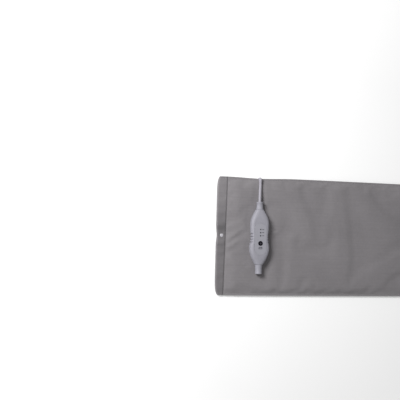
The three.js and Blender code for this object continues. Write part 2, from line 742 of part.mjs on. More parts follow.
// One section of the case, wall thicknesses in from its outside, whose full height is top.
function caseSection(s, wall, top) {
  const full = shoulder(s);
  const upperHalf = s < WAIST_AT;
  const endTop = upperHalf ? UPPER_END_TOP : LOWER_END_TOP;
  const endRear = upperHalf ? UPPER_END_REAR : LOWER_END_REAR;
  const halfWidth = caseWidth(s) / 2 - wall;
  const height = lerp(endTop - wall, top, full);
  const depth = lerp(endRear, REAR_DEPTH, full) - wall;
  const topPower = lerp(END_ROUNDNESS, TOP_SQUARENESS, full);
  const rearPower = lerp(END_ROUNDNESS, REAR_SQUARENESS, full);
  const ring = [];
  for (let i = 0; i < SECTION_POINTS; i += 1) {
    const angle = (2 * Math.PI * i) / SECTION_POINTS;
    const up = Math.sin(angle) >= 0;
    const power = 2 / (up ? topPower : rearPower);
    const x = halfWidth * Math.sign(Math.cos(angle)) * Math.abs(Math.cos(angle)) ** power;
    const z = (up ? height : -depth) * Math.abs(Math.sin(angle)) ** power;
    ring.push(new THREE.Vector3(x, -s, z));
  }
  return ring;
}

function caseBlock(endWall, wall, top) {
  const shoulderSteps = 6;
  const waistSteps = 3;
  const places = [];
  const stretch = (from, to, steps) => {
    for (let i = 0; i < steps; i += 1) {
      places.push(lerp(from, to, i / steps));
    }
  };
  stretch(endWall, UPPER_LOBE_AT, shoulderSteps);
  stretch(UPPER_LOBE_AT, WAIST_AT, waistSteps);
  stretch(WAIST_AT, LOWER_LOBE_AT, waistSteps);
  stretch(LOWER_LOBE_AT, BODY_LENGTH - endWall, shoulderSteps);
  places.push(BODY_LENGTH - endWall);
  return solid(loft(places.map((s) => caseSection(s, wall, top))));
}

function stadium(width, upper, lower) {
  const radius = width / 2;
  const shape = new THREE.Shape();
  shape.absarc(0, -upper - radius, radius, 0, Math.PI);
  shape.absarc(0, radius - lower, radius, Math.PI, 2 * Math.PI);
  return shape;
}

function ledPlaces() {
  return LED_NAMES.map((name, i) => LED_FIRST_AT + LED_PITCH * i);
}

function eachSide(places, offset, make) {
  return places.flatMap((s) => [make(-offset, -s), make(offset, -s)]);
}

function fluteTools() {
  const tools = [];
  for (let i = 0; i < FLUTES; i += 1) {
    const s = FLUTE_FIRST_AT + FLUTE_PITCH * i;
    const x = caseWidth(s) / 2 + FLUTE_RADIUS - FLUTE_DEPTH;
    for (const side of [-x, x]) {
      tools.push(upright(2 * FLUTE_RADIUS, -FLUTE_HALF_HEIGHT, FLUTE_HALF_HEIGHT, side, -s));
    }
  }
  return tools;
}

function neckHoles() {
  const diameter = NECK_HUB_DIAMETER + 2 * SEAT_GAP;
  return [0, BODY_LENGTH].map((s) => {
    const length = 2 * (END_WALL + CUT_OVERRUN);
    return new THREE.CylinderGeometry(diameter / 2, diameter / 2, length, ROUND_SIDES).translate(0, -s, 0);
  });
}

function makeCase(controller) {
  const outer = caseBlock(0, 0, FACE_HEIGHT + FACE_CROWN);
  const hollow = outer.subtract(caseBlock(END_WALL, WALL, CAVITY_TOP));
  const span = 2 * LOWER_LOBE_WIDTH;
  const halfBox = (low, high) => solid(box(span, 2 * BODY_LENGTH, low, high, 0, -BODY_LENGTH / 2));
  const posts = [BOARD_AT + POST_INSET, BOARD_AT + BOARD_LENGTH - POST_INSET];
  const screwHole = SCREW_DIAMETER + 2 * SEAT_GAP;
  const atScrews = (diameter, low, high) =>
    eachSide(SCREW_AT, SCREW_X, (x, y) => upright(diameter, low, high, x, y));
  const atPosts = (low, high) => eachSide(posts, POST_X, (x, y) => upright(POST_DIAMETER, low, high, x, y));

  const frontHalf = halfBox(PARTING_GAP / 2, FACE_HEIGHT);
  const frontPillars = [
    ...atPosts(BOARD_TOP + SEAT_GAP, FACE_HEIGHT),
    ...atScrews(BOSS_DIAMETER, 0, FACE_HEIGHT),
  ].map(solid);
  const frontBody = frontPillars.reduce((body, pillar) => body.add(pillar.intersect(outer)), hollow);
  const faceFloor = FACE_HEIGHT - POCKET_DEPTH;
  const aboveFace = FACE_HEIGHT + CUT_OVERRUN;
  const ledHole = LED_DIAMETER + 2 * SEAT_GAP;
  const frontTools = [
    prism(stadium(PANEL_WIDTH, PANEL_AT, PANEL_AT + PANEL_LENGTH), faceFloor, aboveFace),
    ...ledPlaces().map((s) => upright(ledHole, CAVITY_TOP - CUT_OVERRUN, aboveFace, 0, -s)),
    upright(BUTTON_DIAMETER + 2 * SEAT_GAP, CAVITY_TOP - CUT_OVERRUN, aboveFace, 0, -BUTTON_AT, ROUND_SIDES),
    ...atScrews(screwHole, -CUT_OVERRUN, SCREW_REACH + SCREW_TIP_ROOM),
    ...neckHoles(),
    ...fluteTools(),
  ];
  const front = cut(frontBody.intersect(frontHalf), frontTools);
  add("controller_front_shell", surface(front), WHITE_PLASTIC, controller);

  const rearHalf = halfBox(-2 * REAR_DEPTH, -PARTING_GAP / 2);
  const rearPillars = [
    ...atPosts(-REAR_DEPTH, BOARD_UNDER - SEAT_GAP),
    ...atScrews(BOSS_DIAMETER, -REAR_DEPTH, -PARTING_GAP / 2),
  ].map(solid);
  const rearBody = rearPillars.reduce(
    (body, pillar) => body.add(pillar.intersect(outer)),
    hollow.intersect(rearHalf),
  );
  const headHole = SCREW_HEAD_DIAMETER + 2 * SEAT_GAP;
  const rearTools = [
    ...atScrews(screwHole, -REAR_DEPTH, CUT_OVERRUN),
    ...atScrews(headHole, -REAR_DEPTH - CUT_OVERRUN, -SCREW_SEAT),
    ...neckHoles(),
    ...fluteTools(),
  ];
  add("controller_rear_shell", surface(cut(rearBody, rearTools)), WHITE_PLASTIC, controller);

  const headTop = -SCREW_SEAT - SEAT_GAP;
  const screw = [
    [0, headTop - SCREW_HEAD],
    [SCREW_HEAD_DIAMETER / 2, headTop - SCREW_HEAD],
    [SCREW_HEAD_DIAMETER / 2, headTop],
    [SCREW_DIAMETER / 2, headTop],
    [SCREW_DIAMETER / 2, SCREW_REACH - SCREW_DIAMETER / 2],
    [0, SCREW_REACH],
  ];
  eachSide(SCREW_AT, SCREW_X, (x, y) => turned(screw, x, y, SMALL_SIDES)).forEach((geometry, i) => {
    add(`case_screw_${i + 1}`, geometry, STEEL, controller);
  });
}

// A neck stands on +Y from the case's end face at 0. Its hub passes the end wall and its flange holds it
// inside the case.
function neckGeometry(length, diameter, seamDiameter, flare) {
  const flangeFace = -END_WALL - SEAT_GAP;
  const profile = [
    [BORE_DIAMETER, flangeFace - NECK_FLANGE],
    [NECK_FLANGE_DIAMETER, flangeFace - NECK_FLANGE],
    [NECK_FLANGE_DIAMETER, flangeFace],
    [NECK_HUB_DIAMETER, flangeFace],
    [NECK_HUB_DIAMETER, SEAT_GAP],
    [seamDiameter, SEAT_GAP],
    [lerp(seamDiameter, diameter, FLARE_HOLLOW), flare / 2],
    [diameter, flare],
    [diameter, length - NECK_CHAMFER],
    [diameter - 2 * NECK_CHAMFER, length],
    [BORE_DIAMETER, length],
    [BORE_DIAMETER, flangeFace - NECK_FLANGE],
  ].map(([across, y]) => new THREE.Vector2(across / 2, y));
  return new THREE.LatheGeometry(profile, ROUND_SIDES);
}

function makeNecks(controller) {
  const upper = neckGeometry(NECK_LENGTH, NECK_DIAMETER, UPPER_SEAM_DIAMETER, UPPER_FLARE);
  add("upper_neck", upper, WHITE_PLASTIC, controller);
  const lower = neckGeometry(LOWER_NECK_LENGTH, LOWER_NECK_DIAMETER, LOWER_SEAM_DIAMETER, LOWER_FLARE);
  add("lower_neck", lower.rotateZ(Math.PI).translate(0, -BODY_LENGTH, 0), WHITE_PLASTIC, controller);
}

function makeFace(controller) {
  const lowerEnd = PANEL_AT + PANEL_LENGTH - SEAT_GAP;
  const outline = stadium(PANEL_WIDTH - 2 * SEAT_GAP, PANEL_AT + SEAT_GAP, lowerEnd);
  const holes = [
    ...ledPlaces().map((s) => [s, LED_DIAMETER]),
    [BUTTON_AT, BUTTON_DIAMETER],
  ];
  for (const [s, diameter] of holes) {
    outline.holes.push(new THREE.Path().absarc(0, -s, diameter / 2 + SEAT_GAP, 0, 2 * Math.PI));
  }
  add("face_panel", prism(outline, FACE_HEIGHT - PANEL_THICKNESS, FACE_HEIGHT), PANEL_FILM, controller);

  const ledBase = BOARD_TOP + SEAT_GAP;
  const led = [
    [0, ledBase],
    [LED_COLLAR_DIAMETER / 2, ledBase],
    [LED_COLLAR_DIAMETER / 2, ledBase + LED_COLLAR],
    [LED_DIAMETER / 2, ledBase + LED_COLLAR],
    ...dome(LED_DIAMETER / 2, FACE_HEIGHT, LED_DOME),
  ];
  ledPlaces().forEach((s, i) => add(LED_NAMES[i], turned(led, 0, -s, SMALL_SIDES), LAMP, controller));

  const capRadius = BUTTON_DIAMETER / 2;
  const flangeRadius = capRadius + BUTTON_FLANGE_LAP;
  const buttonTop = FACE_HEIGHT + BUTTON_PROUD;
  const button = [
    [0, STEM_END],
    [BUTTON_STEM_DIAMETER / 2, STEM_END],
    [BUTTON_STEM_DIAMETER / 2, BUTTON_SEAT - BUTTON_FLANGE],
    [flangeRadius, BUTTON_SEAT - BUTTON_FLANGE],
    [flangeRadius, BUTTON_SEAT],
    [capRadius, BUTTON_SEAT],
    [capRadius, buttonTop - BUTTON_EDGE],
    [capRadius - BUTTON_EDGE, buttonTop],
    [0, buttonTop],
  ];
  add("power_button", turned(button, 0, -BUTTON_AT), BLACK_PLASTIC, controller);
}

function makeBoard(controller) {
  const halfBoard = BOARD_WIDTH / 2;
  const outline = roundedRectangle(-halfBoard, halfBoard, -BOARD_AT - BOARD_LENGTH, -BOARD_AT, BOARD_CORNER);
  const cornerSteps = 3;
  add("circuit_board", prism(outline, BOARD_UNDER, BOARD_TOP, cornerSteps), BOARD_GREEN, controller);

  const well = upright(
    PLUNGER_DIAMETER + 2 * SEAT_GAP,
    SWITCH_TOP - PLUNGER_DEPTH - BUTTON_TRAVEL - SEAT_GAP,
    SWITCH_TOP + CUT_OVERRUN,
    0,
    -BUTTON_AT,
  );
  const housing = box(SWITCH_SIZE, SWITCH_SIZE, SWITCH_TOP - SWITCH_HEIGHT, SWITCH_TOP, 0, -BUTTON_AT);
  add("tact_switch", surface(cut(solid(housing), [well])), BLACK_PLASTIC, controller);
  const plunger = upright(PLUNGER_DIAMETER, SWITCH_TOP - PLUNGER_DEPTH, PLUNGER_TOP, 0, -BUTTON_AT);
  add("switch_plunger", plunger, BLACK_PLASTIC, controller);

  const chipBase = BOARD_TOP + SEAT_GAP;
  const chip = box(CHIP_WIDTH, CHIP_LENGTH, chipBase, chipBase + CHIP_HEIGHT, 0, -CHIP_AT);
  add("microcontroller", chip, BLACK_PLASTIC, controller);

  const hang = BOARD_UNDER - SEAT_GAP;
  const triac = box(TRIAC_WIDTH, TRIAC_LENGTH, hang - TRIAC_HEIGHT, hang, TRIAC_X, -TRIAC_AT);
  add("triac", triac, BLACK_PLASTIC, controller);
  const capacitor = box(
    CAPACITOR_WIDTH,
    CAPACITOR_LENGTH,
    hang - CAPACITOR_HEIGHT,
    hang,
    CAPACITOR_X,
    -CAPACITOR_AT,
  );
  add("film_capacitor", capacitor, CORE_RED, controller);
  const fuse = new THREE.CylinderGeometry(FUSE_DIAMETER / 2, FUSE_DIAMETER / 2, FUSE_LENGTH, SMALL_SIDES);
  add("fuse", fuse.translate(FUSE_X, -FUSE_AT, hang - FUSE_DIAMETER / 2), STEEL, controller);

  const landing = hang - CORE_DIAMETER / 2;
  const cores = [
    ["lead_wire_live", CORE_SPACING / 2, CORE_RED],
    ["lead_wire_neutral", -CORE_SPACING / 2, CORE_BLACK],
  ];
  for (const [name, x, material] of cores) {
    const path = new PointPath([
      new THREE.Vector3(x, CORE_START, 0),
      new THREE.Vector3(x, -BOARD_AT + CORE_SLOPE, 0),
      new THREE.Vector3(x, -BOARD_AT, landing),
      new THREE.Vector3(x, -BOARD_AT - CORE_LANDING, landing),
    ]);
    const coreSides = 8;
    add(name, tube(path, CORE_DIAMETER, coreSides, path.points.length - 1), material, controller);
  }
}

function makeController() {
  const controller = new THREE.Group();
  controller.position.set(CONTROLLER_X, UPPER_SEAM_Y, CONTROLLER_Z);
  part.add(controller);
  makeCase(controller);
  makeNecks(controller);
  makeFace(controller);
  makeBoard(controller);
}

makeCover();
makeSnap();
makeHeatingLayer();
makeLead();
makeController();

export default part;
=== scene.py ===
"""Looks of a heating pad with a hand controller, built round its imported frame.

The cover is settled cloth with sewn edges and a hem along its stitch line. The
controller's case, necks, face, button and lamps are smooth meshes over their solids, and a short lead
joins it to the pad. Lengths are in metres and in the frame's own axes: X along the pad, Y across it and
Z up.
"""

from __future__ import annotations

import json
import logging
import math
from collections.abc import Callable, Sequence
from dataclasses import dataclass, field
from enum import Enum

import bmesh
import bpy
from mathutils import Matrix, Vector, noise
from mathutils.bvhtree import BVHTree

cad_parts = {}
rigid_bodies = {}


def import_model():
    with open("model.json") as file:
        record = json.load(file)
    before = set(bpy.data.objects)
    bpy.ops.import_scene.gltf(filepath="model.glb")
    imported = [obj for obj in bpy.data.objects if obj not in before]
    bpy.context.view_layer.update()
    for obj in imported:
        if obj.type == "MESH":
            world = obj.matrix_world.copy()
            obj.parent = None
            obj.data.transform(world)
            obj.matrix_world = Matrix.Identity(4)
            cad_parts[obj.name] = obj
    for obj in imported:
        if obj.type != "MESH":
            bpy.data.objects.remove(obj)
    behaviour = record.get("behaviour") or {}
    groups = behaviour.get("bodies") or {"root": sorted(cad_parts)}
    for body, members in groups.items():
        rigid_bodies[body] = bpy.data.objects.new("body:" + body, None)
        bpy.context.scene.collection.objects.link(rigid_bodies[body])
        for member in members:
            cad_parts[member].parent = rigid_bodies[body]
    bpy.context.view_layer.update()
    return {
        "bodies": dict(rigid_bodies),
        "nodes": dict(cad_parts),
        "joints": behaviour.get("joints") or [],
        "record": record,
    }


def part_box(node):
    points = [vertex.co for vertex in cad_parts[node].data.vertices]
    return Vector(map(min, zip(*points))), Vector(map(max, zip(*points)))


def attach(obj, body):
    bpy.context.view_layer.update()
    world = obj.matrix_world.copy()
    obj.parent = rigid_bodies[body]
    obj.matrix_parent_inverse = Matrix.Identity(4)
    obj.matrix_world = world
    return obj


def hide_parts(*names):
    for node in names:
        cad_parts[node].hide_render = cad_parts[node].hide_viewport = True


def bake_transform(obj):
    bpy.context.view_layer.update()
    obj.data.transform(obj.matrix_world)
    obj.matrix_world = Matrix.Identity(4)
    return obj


LOG = logging.getLogger("heating_pad")
MM = 0.001
UP = Vector((0.0, 0.0, 1.0))
SAME_POINT = 0.002 * MM  # points closer than this are merged
CLOTH_MAP = "cloth"  # the cloth's own flat coordinates
PAINTED_LIGHT_MAP = "nap"  # painted light and shade: how much lighter or darker the cloth's colour is made at each point
NOISE_SPAN = (0.3, 0.7)  # where most of a noise texture's values lie
WAVES_PER_UNIT = 2.0 * math.pi / 20.0  # scale at which a wave texture has one band to the metre
WOBBLE_SCALE = 2.0  # fineness of the wobble in a wave texture's bands

Span = tuple[float, float]
Triple = tuple[float, float, float]
Pairs = tuple[Span, ...]
Outline = list[Span]
Socket = bpy.types.NodeSocket
Piece = bpy.types.Object


class Body(str, Enum):
    """The frame's bodies that a piece can ride on."""

    PAD = "pad"
    HEM_FLAP = "hem_flap"
    CONTROLLER = "controller"
    BUTTON = "button"


class Slot(str, Enum):
    """The record's material slots."""

    FABRIC = "fabric"
    SNAP = "snap_plastic"
    LEAD = "lead_vinyl"
    WHITE = "white_plastic"
    PANEL = "panel_film"
    BLACK = "black_plastic"
    LAMP = "lamp"
    STEEL = "steel"


class Smooth(float, Enum):
    """The angle in degrees past which an edge stays sharp on each kind of surface."""

    CASE = 30.0
    PLATE = 35.0
    TURNED = 40.0
    LEAD = 50.0
    CLOTH = 60.0
    THREAD = 80.0


class Carve(str, Enum):
    """What a tool does to a piece."""

    CUT = "DIFFERENCE"
    JOIN = "UNION"


# Small sums


def lerp(a: float, b: float, t: float) -> float:
    """Return the value a share t of the way from a to b."""
    return a + (b - a) * t


def clamp(value: float, low: float, high: float) -> float:
    """Return value kept between low and high."""
    return max(low, min(high, value))


def smoothstep(low: float, high: float, value: float) -> float:
    """Return 0 below low, 1 above high and a smooth turn between them."""
    t = clamp((value - low) / (high - low), 0.0, 1.0)
    return t * t * (3.0 - 2.0 * t)


def ease(start: float, end: float, value: float) -> float:
    """Return 0 at start and 1 at end along half a cosine wave."""
    return (1.0 - math.cos(math.pi * (value - start) / (end - start))) / 2.0


def soft_min(a: float, b: float, reach: float) -> float:
    """Return the smaller of a and b, rounded off where they come within reach."""
    h = clamp(0.5 + 0.5 * (b - a) / reach, 0.0, 1.0)
    return lerp(b, a, h) - reach * h * (1.0 - h)


def bump_at(distance: float, width: float) -> float:
    """Return a bell that is 1 at no distance and fades over width."""
    return math.exp(-((distance / width) ** 2))


def middle_of(node: str) -> Span:
    """Return the middle of a node's box along X and along Y."""
    low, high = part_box(node)
    return (low.x + high.x) / 2.0, (low.y + high.y) / 2.0


def tinted(color: Triple, factor: float) -> Triple:
    """Return a colour made darker or lighter by a factor."""
    return tuple(min(1.0, channel * factor) for channel in color)


# Materials


class NodeGraph:
    """A node tree, with ways to add nodes to it."""

    def __init__(self, tree: bpy.types.NodeTree) -> None:
        """Keep the tree."""
        self.tree = tree

    def node(self, kind: str, inputs: dict | None = None, **settings: object) -> bpy.types.Node:
        """Add a node and set it up.

        Args:
            kind: The node's type name.
            inputs: Values or sockets for its inputs, by name or number.
            settings: Values for the node's own properties.

        Returns:
            The new node.
        """
        node = self.tree.nodes.new(kind)
        for key, value in settings.items():
            setattr(node, key, value)
        self.feed(node, inputs or {})
        return node

    def feed(self, node: bpy.types.Node, inputs: dict) -> None:
        """Give inputs of a node constants or links.

        Args:
            node: The node that takes them.
            inputs: Constants, or sockets to link from, by the input's name or number.
        """
        for key, value in inputs.items():
            if isinstance(value, Socket):
                self.tree.links.new(value, node.inputs[key])
            else:
                node.inputs[key].default_value = value

    def place(self) -> Socket:
        """Return the piece's own Object coordinates."""
        return self.node("ShaderNodeTexCoord").outputs["Object"]

    def math(self, operation: str, a: Socket, b: Socket | float) -> Socket:
        """Return the result of a sum on two grey values."""
        return self.node("ShaderNodeMath", {0: a, 1: b}, operation=operation).outputs[0]

    def spread(self, value: Socket, span: Span, source: Span = NOISE_SPAN) -> Socket:
        """Return a grey value spread over a span from its own."""
        keys = ("Value", "From Min", "From Max", "To Min", "To Max")
        return self.node("ShaderNodeMapRange", dict(zip(keys, (value, *source, *span)))).outputs["Result"]

    def seen(self, unseen_level: float, seen_level: float) -> Socket:
        """Tell what is seen, also in a reflection or through a clear piece, from what only lights.

        Args:
            unseen_level: The value for rays that only carry light.
            seen_level: The value for rays that show the surface.

        Returns:
            The value.
        """
        path = self.node("ShaderNodeLightPath")
        seen = path.outputs["Is Camera Ray"]
        for name in ("Is Glossy Ray", "Is Transmission Ray"):
            seen = self.math("MAXIMUM", seen, path.outputs[name])
        return self.spread(seen, (unseen_level, seen_level), (0.0, 1.0))


class MaterialGraph(NodeGraph):
    """The node tree of one material, with its Principled shader."""

    def __init__(self, name: str) -> None:
        """Make the material and keep its tree and shader.

        Args:
            name: The material's name.
        """
        self.material = bpy.data.materials.new(name)
        self.material.use_nodes = True
        super().__init__(self.material.node_tree)
        self.shader = self.tree.nodes["Principled BSDF"]

    def set_up(self, inputs: dict) -> None:
        """Set inputs of the Principled shader by name."""
        self.feed(self.shader, inputs)

    def cloud(self, vector: Socket, scale: float, detail: float = 3.0) -> Socket:
        """Return a noise texture's grey value, with so many features per metre and octaves of detail."""
        inputs = {"Vector": vector, "Scale": scale, "Detail": detail}
        return self.node("ShaderNodeTexNoise", inputs).outputs[0]

    def bands(self, vector: Socket, direction: str, pitch: float, wobble: float) -> Socket:
        """Add straight bands, as threads lie in a weave.

        Args:
            vector: The coordinates that they read.
            direction: X, Y or Z, across the bands.
            pitch: Distance from band to band.
            wobble: How far the bands wander.

        Returns:
            Their grey value.
        """
        waves = WAVES_PER_UNIT / pitch
        inputs = {"Vector": vector, "Scale": waves, "Distortion": wobble, "Detail Scale": WOBBLE_SCALE}
        return self.node("ShaderNodeTexWave", inputs, bands_direction=direction).outputs["Fac"]

    def total(self, *shares: tuple[Socket, float]) -> Socket:
        """Add up grey values.

        Args:
            shares: The values, each with its share.

        Returns:
            The total.
        """
        first, *others = [self.math("MULTIPLY", value, share) for value, share in shares]
        for part in others:
            first = self.math("ADD", first, part)
        return first

    def ramp(self, value: Socket, color: Triple, tones: Pairs) -> Socket:
        """Turn a grey value into tones of a colour.

        Args:
            value: The grey value.
            color: The colour.
            tones: Places from 0 to 1, each with the factor that the colour has there.

        Returns:
            The toned colour.
        """
        node = self.node("ShaderNodeValToRGB", {"Fac": value})
        elements = node.color_ramp.elements
        while len(elements) < len(tones):
            elements.new(1.0)
        for element, (position, factor) in zip(elements, tones):
            element.position = position
            element.color = (*tinted(color, factor), 1.0)
        return node.outputs["Color"]

    def relief(self, height: Socket, strength: float, depth: float) -> None:
        """Give the shader a bumpy normal, from a grey height, how much of it shows and its depth."""
        inputs = {"Height": height, "Strength": strength, "Distance": depth}
        self.set_up({"Normal": self.node("ShaderNodeBump", inputs).outputs["Normal"]})


@dataclass(frozen=True)
class BrushedCloth:
    """Brushed polyester cloth: a fine weave under a short nap, shaded in soft clouds."""

    name: str
    color: Triple
    weave_pitch: float = 0.9 * MM
    weave_wobble: float = 1.4
    weave_height: float = 0.6
    nap_scale: float = 700.0
    nap_detail: float = 4.0
    nap_share: float = 0.4
    cloud_scale: float = 11.0
    cloud_share: float = 0.55
    mottle_scale: float = 140.0
    mottle_share: float = 0.25
    slub_scale: Triple = (9.0, 260.0, 1.0)
    slub_share: float = 0.3
    tones: Pairs = ((0.25, 0.86), (0.5, 1.0), (0.8, 1.13))
    roughness: float = 0.94
    specular: float = 0.25
    sheen: float = 0.22
    sheen_roughness: float = 0.5
    relief: float = 0.35
    relief_depth: float = 0.25 * MM

    def material(self) -> bpy.types.Material:
        """Make the cloth's material, which follows the cloth's own flat coordinates.

        Returns:
            The material.
        """
        graph = MaterialGraph(self.name)
        flat = graph.node("ShaderNodeUVMap", uv_map=CLOTH_MAP).outputs["UV"]
        warp, weft = [graph.bands(flat, way, self.weave_pitch, self.weave_wobble) for way in "XY"]
        weave = graph.math("MULTIPLY", warp, weft)
        nap = graph.cloud(flat, self.nap_scale, self.nap_detail)
        stretched = graph.node("ShaderNodeMapping", {"Vector": flat, "Scale": self.slub_scale})
        slubs = graph.cloud(stretched.outputs["Vector"], 1.0)
        tone = graph.total(
            (graph.cloud(flat, self.cloud_scale), self.cloud_share),
            (graph.cloud(flat, self.mottle_scale), self.mottle_share),
            (graph.math("MULTIPLY", nap, weave), self.nap_share),
            (graph.math("SUBTRACT", slubs, 0.5), self.slub_share),
        )
        # painted light and shade, stored on the cloth's points, scales the cloth's colour
        turned = graph.node("ShaderNodeAttribute", attribute_name=PAINTED_LIGHT_MAP).outputs["Fac"]
        toned = graph.ramp(tone, self.color, self.tones)
        inputs = {"Vector": toned, "Scale": graph.math("ADD", turned, 1.0)}
        shaded = graph.node("ShaderNodeVectorMath", inputs, operation="SCALE")
        graph.set_up(
            {
                "Base Color": shaded.outputs["Vector"],
                "Roughness": self.roughness,
                "Specular IOR Level": self.specular,
                "Sheen Weight": self.sheen,
                "Sheen Roughness": self.sheen_roughness,
            }
        )
        graph.relief(graph.total((weave, self.weave_height), (nap, 1.0)), self.relief, self.relief_depth)
        return graph.material


@dataclass(frozen=True)
class MouldedPlastic:
    """Moulded plastic or vinyl: a fine spark-eroded grain with faint flow marks."""

    name: str
    color: Triple
    roughness: Span = (0.36, 0.48)
    variation: float = 0.05
    flow_scale: float = 45.0
    grain_scale: float = 3200.0
    grain_depth: float = 0.02 * MM
    specular: float = 0.5
    flow_share: float = 0.7
    grain_share: float = 0.3
    grain_detail: float = 2.0
    relief: float = 0.3

    def material(self) -> bpy.types.Material:
        """Make the plastic's material.

        Returns:
            The material.
        """
        graph = MaterialGraph(self.name)
        place = graph.place()
        flow = graph.cloud(place, self.flow_scale)
        grain = graph.cloud(place, self.grain_scale, self.grain_detail)
        tone = graph.total((flow, self.flow_share), (grain, self.grain_share))
        tones = tuple(zip(NOISE_SPAN, (1.0 - self.variation, 1.0 + self.variation)))
        graph.set_up(
            {
                "Base Color": graph.ramp(tone, self.color, tones),
                "Roughness": graph.spread(flow, self.roughness),
                "Specular IOR Level": self.specular,
            }
        )
        graph.relief(grain, self.relief, self.grain_depth)
        return graph.material


@dataclass(frozen=True)
class Patterned:
    """A surface whose colour, gloss and relief follow one pattern, here plain noise."""

    name: str
    color: Triple
    scale: float = 0.0
    detail: float = 0.0
    tones: Pairs = ()
    roughness: float | Span = 0.5
    constants: tuple[tuple[str, float], ...] = ()
    relief: float = 0.0
    relief_depth: float = 0.0

    def pattern(self, graph: MaterialGraph) -> Socket:
        """Return the pattern's grey value."""
        return graph.cloud(graph.place(), self.scale, self.detail)

    def material(self) -> bpy.types.Material:
        """Make the surface's material.

        Returns:
            The material.
        """
        graph = MaterialGraph(self.name)
        pattern, roughness = self.pattern(graph), self.roughness
        if isinstance(roughness, tuple):
            roughness = graph.spread(pattern, roughness)
        tone = graph.ramp(pattern, self.color, self.tones)
        graph.set_up({"Base Color": tone, "Roughness": roughness, **dict(self.constants)})
        if self.relief > 0.0:
            graph.relief(pattern, self.relief, self.relief_depth)
        return graph.material


@dataclass(frozen=True)
class LampLens(Patterned):
    """A smoked lamp lens with a clear coat and faint moulding swirls."""

    scale: float = 900.0
    detail: float = 2.0
    tones: Pairs = ((0.3, 0.7), (0.7, 1.5))
    roughness: float | Span = (0.12, 0.2)
    constants: tuple[tuple[str, float], ...] = (("Coat Weight", 0.4), ("Coat Roughness", 0.08))


@dataclass(frozen=True)
class BrightSteel(Patterned):
    """Plated steel with fine turning marks."""

    scale: float = 1500.0
    detail: float = 4.0
    tones: Pairs = ((0.3, 0.85), (0.7, 1.0))
    roughness: float | Span = (0.25, 0.42)
    constants: tuple[tuple[str, float], ...] = (("Metallic", 1.0),)
    relief: float = 0.2
    relief_depth: float = 0.01 * MM


@dataclass(frozen=True)
class BoardLaminate(Patterned):
    """Green board laminate with copper tracks showing through as paler lines."""

    tones: Pairs = ((0.55, 1.0), (0.7, 1.8))
    roughness: float | Span = (0.3, 0.5)
    relief: float = 0.3
    relief_depth: float = 0.03 * MM
    pitch: float = 2.4 * MM
    wobble: float = 3.0

    def pattern(self, graph: MaterialGraph) -> Socket:
        """Return the tracks' grey value."""
        return graph.bands(graph.place(), "X", self.pitch, self.wobble)


@dataclass(frozen=True)
class TwistedThread(Patterned):
    """Sewing thread, with its twist as slanting bands."""

    tones: Pairs = ((0.2, 0.7), (0.8, 1.25))
    roughness: float | Span = 0.7
    constants: tuple[tuple[str, float], ...] = (("Sheen Weight", 0.15),)
    relief: float = 0.4
    relief_depth: float = 0.05 * MM
    pitch: float = 0.5 * MM
    wobble: float = 0.6
    twist: float = math.radians(40.0)

    def pattern(self, graph: MaterialGraph) -> Socket:
        """Return the twist's grey value."""
        turned = graph.node("ShaderNodeMapping", {"Vector": graph.place(), "Rotation": UP * self.twist})
        return graph.bands(turned.outputs["Vector"], "X", self.pitch, self.wobble)


class Finish(Enum):
    """The finishes of the object's surfaces."""

    CLOTH = BrushedCloth("cover_cloth", (0.243, 0.230, 0.240))
    HEM_THREAD = TwistedThread("thread", (0.085, 0.078, 0.085))
    EDGE_THREAD = TwistedThread("edge_thread", (0.34, 0.325, 0.34))
    CASE = MouldedPlastic("case_plastic", (0.311, 0.306, 0.346), (0.5, 0.62), specular=0.35)
    FACE_FILM = MouldedPlastic("face_film", (0.318, 0.315, 0.352), (0.45, 0.6), 0.03)
    LEAD = MouldedPlastic("lead_vinyl", (0.352, 0.338, 0.38), (0.4, 0.55), 0.05, 90.0, specular=0.35)
    SNAP = MouldedPlastic("snap_plastic", (0.487, 0.472, 0.51), (0.2, 0.32), 0.04, 160.0)
    BUTTON = MouldedPlastic(
        "button_plastic", (0.004, 0.0035, 0.007), (0.5, 0.65), 0.3, 120.0, specular=0.06
    )
    MARK = MouldedPlastic("button_mark", (0.16, 0.155, 0.18), (0.4, 0.5), 0.05)
    INK = MouldedPlastic("print_ink", (0.012, 0.011, 0.018), (0.55, 0.7), 0.15, 600.0, specular=0.1)
    LAMP = LampLens("lamp_lens", (0.012, 0.012, 0.016))
    STEEL = BrightSteel("bright_steel", (0.5, 0.51, 0.53))
    BOARD = BoardLaminate("board_laminate", (0.022, 0.12, 0.05))
    LAYER = MouldedPlastic("layer_vinyl", (0.66, 0.64, 0.59), (0.45, 0.6), 0.06, 25.0)
    WIRE = MouldedPlastic("wire_sleeve", (0.47, 0.44, 0.37), (0.5, 0.65), 0.08, 200.0)
    COMPONENT = MouldedPlastic("component_plastic", (0.018, 0.018, 0.02), (0.35, 0.5), 0.2, 200.0)
    RED = MouldedPlastic("red_plastic", (0.33, 0.03, 0.025), (0.3, 0.45), 0.1, 150.0)
    BLACK_CORE = MouldedPlastic("black_core", (0.022, 0.022, 0.024), (0.4, 0.55), 0.2, 150.0)


class Palette:
    """The materials of the object, each made once."""

    def __init__(self) -> None:
        """Make every finish's material."""
        self.materials = {finish: finish.value.material() for finish in Finish}

    def dress(self, piece: Piece, finish: Finish) -> None:
        """Give a piece one finish all over, in place of its own materials."""
        piece.data.materials.clear()
        piece.data.materials.append(self.materials[finish])

    def dress_node(self, node: Piece, finish: Finish) -> None:
        """Give one of the frame's own nodes a finish through its material slots."""
        for slot in node.material_slots:
            slot.material = self.materials[finish]


# Meshes


def link_object(name: str, data: bpy.types.ID) -> Piece:
    """Put data in the scene as an object at the origin.

    Args:
        name: The object's name.
        data: Its mesh, curve, lamp or camera.

    Returns:
        The new object.
    """
    piece = bpy.data.objects.new(name, data)
    bpy.context.scene.collection.objects.link(piece)
    return piece


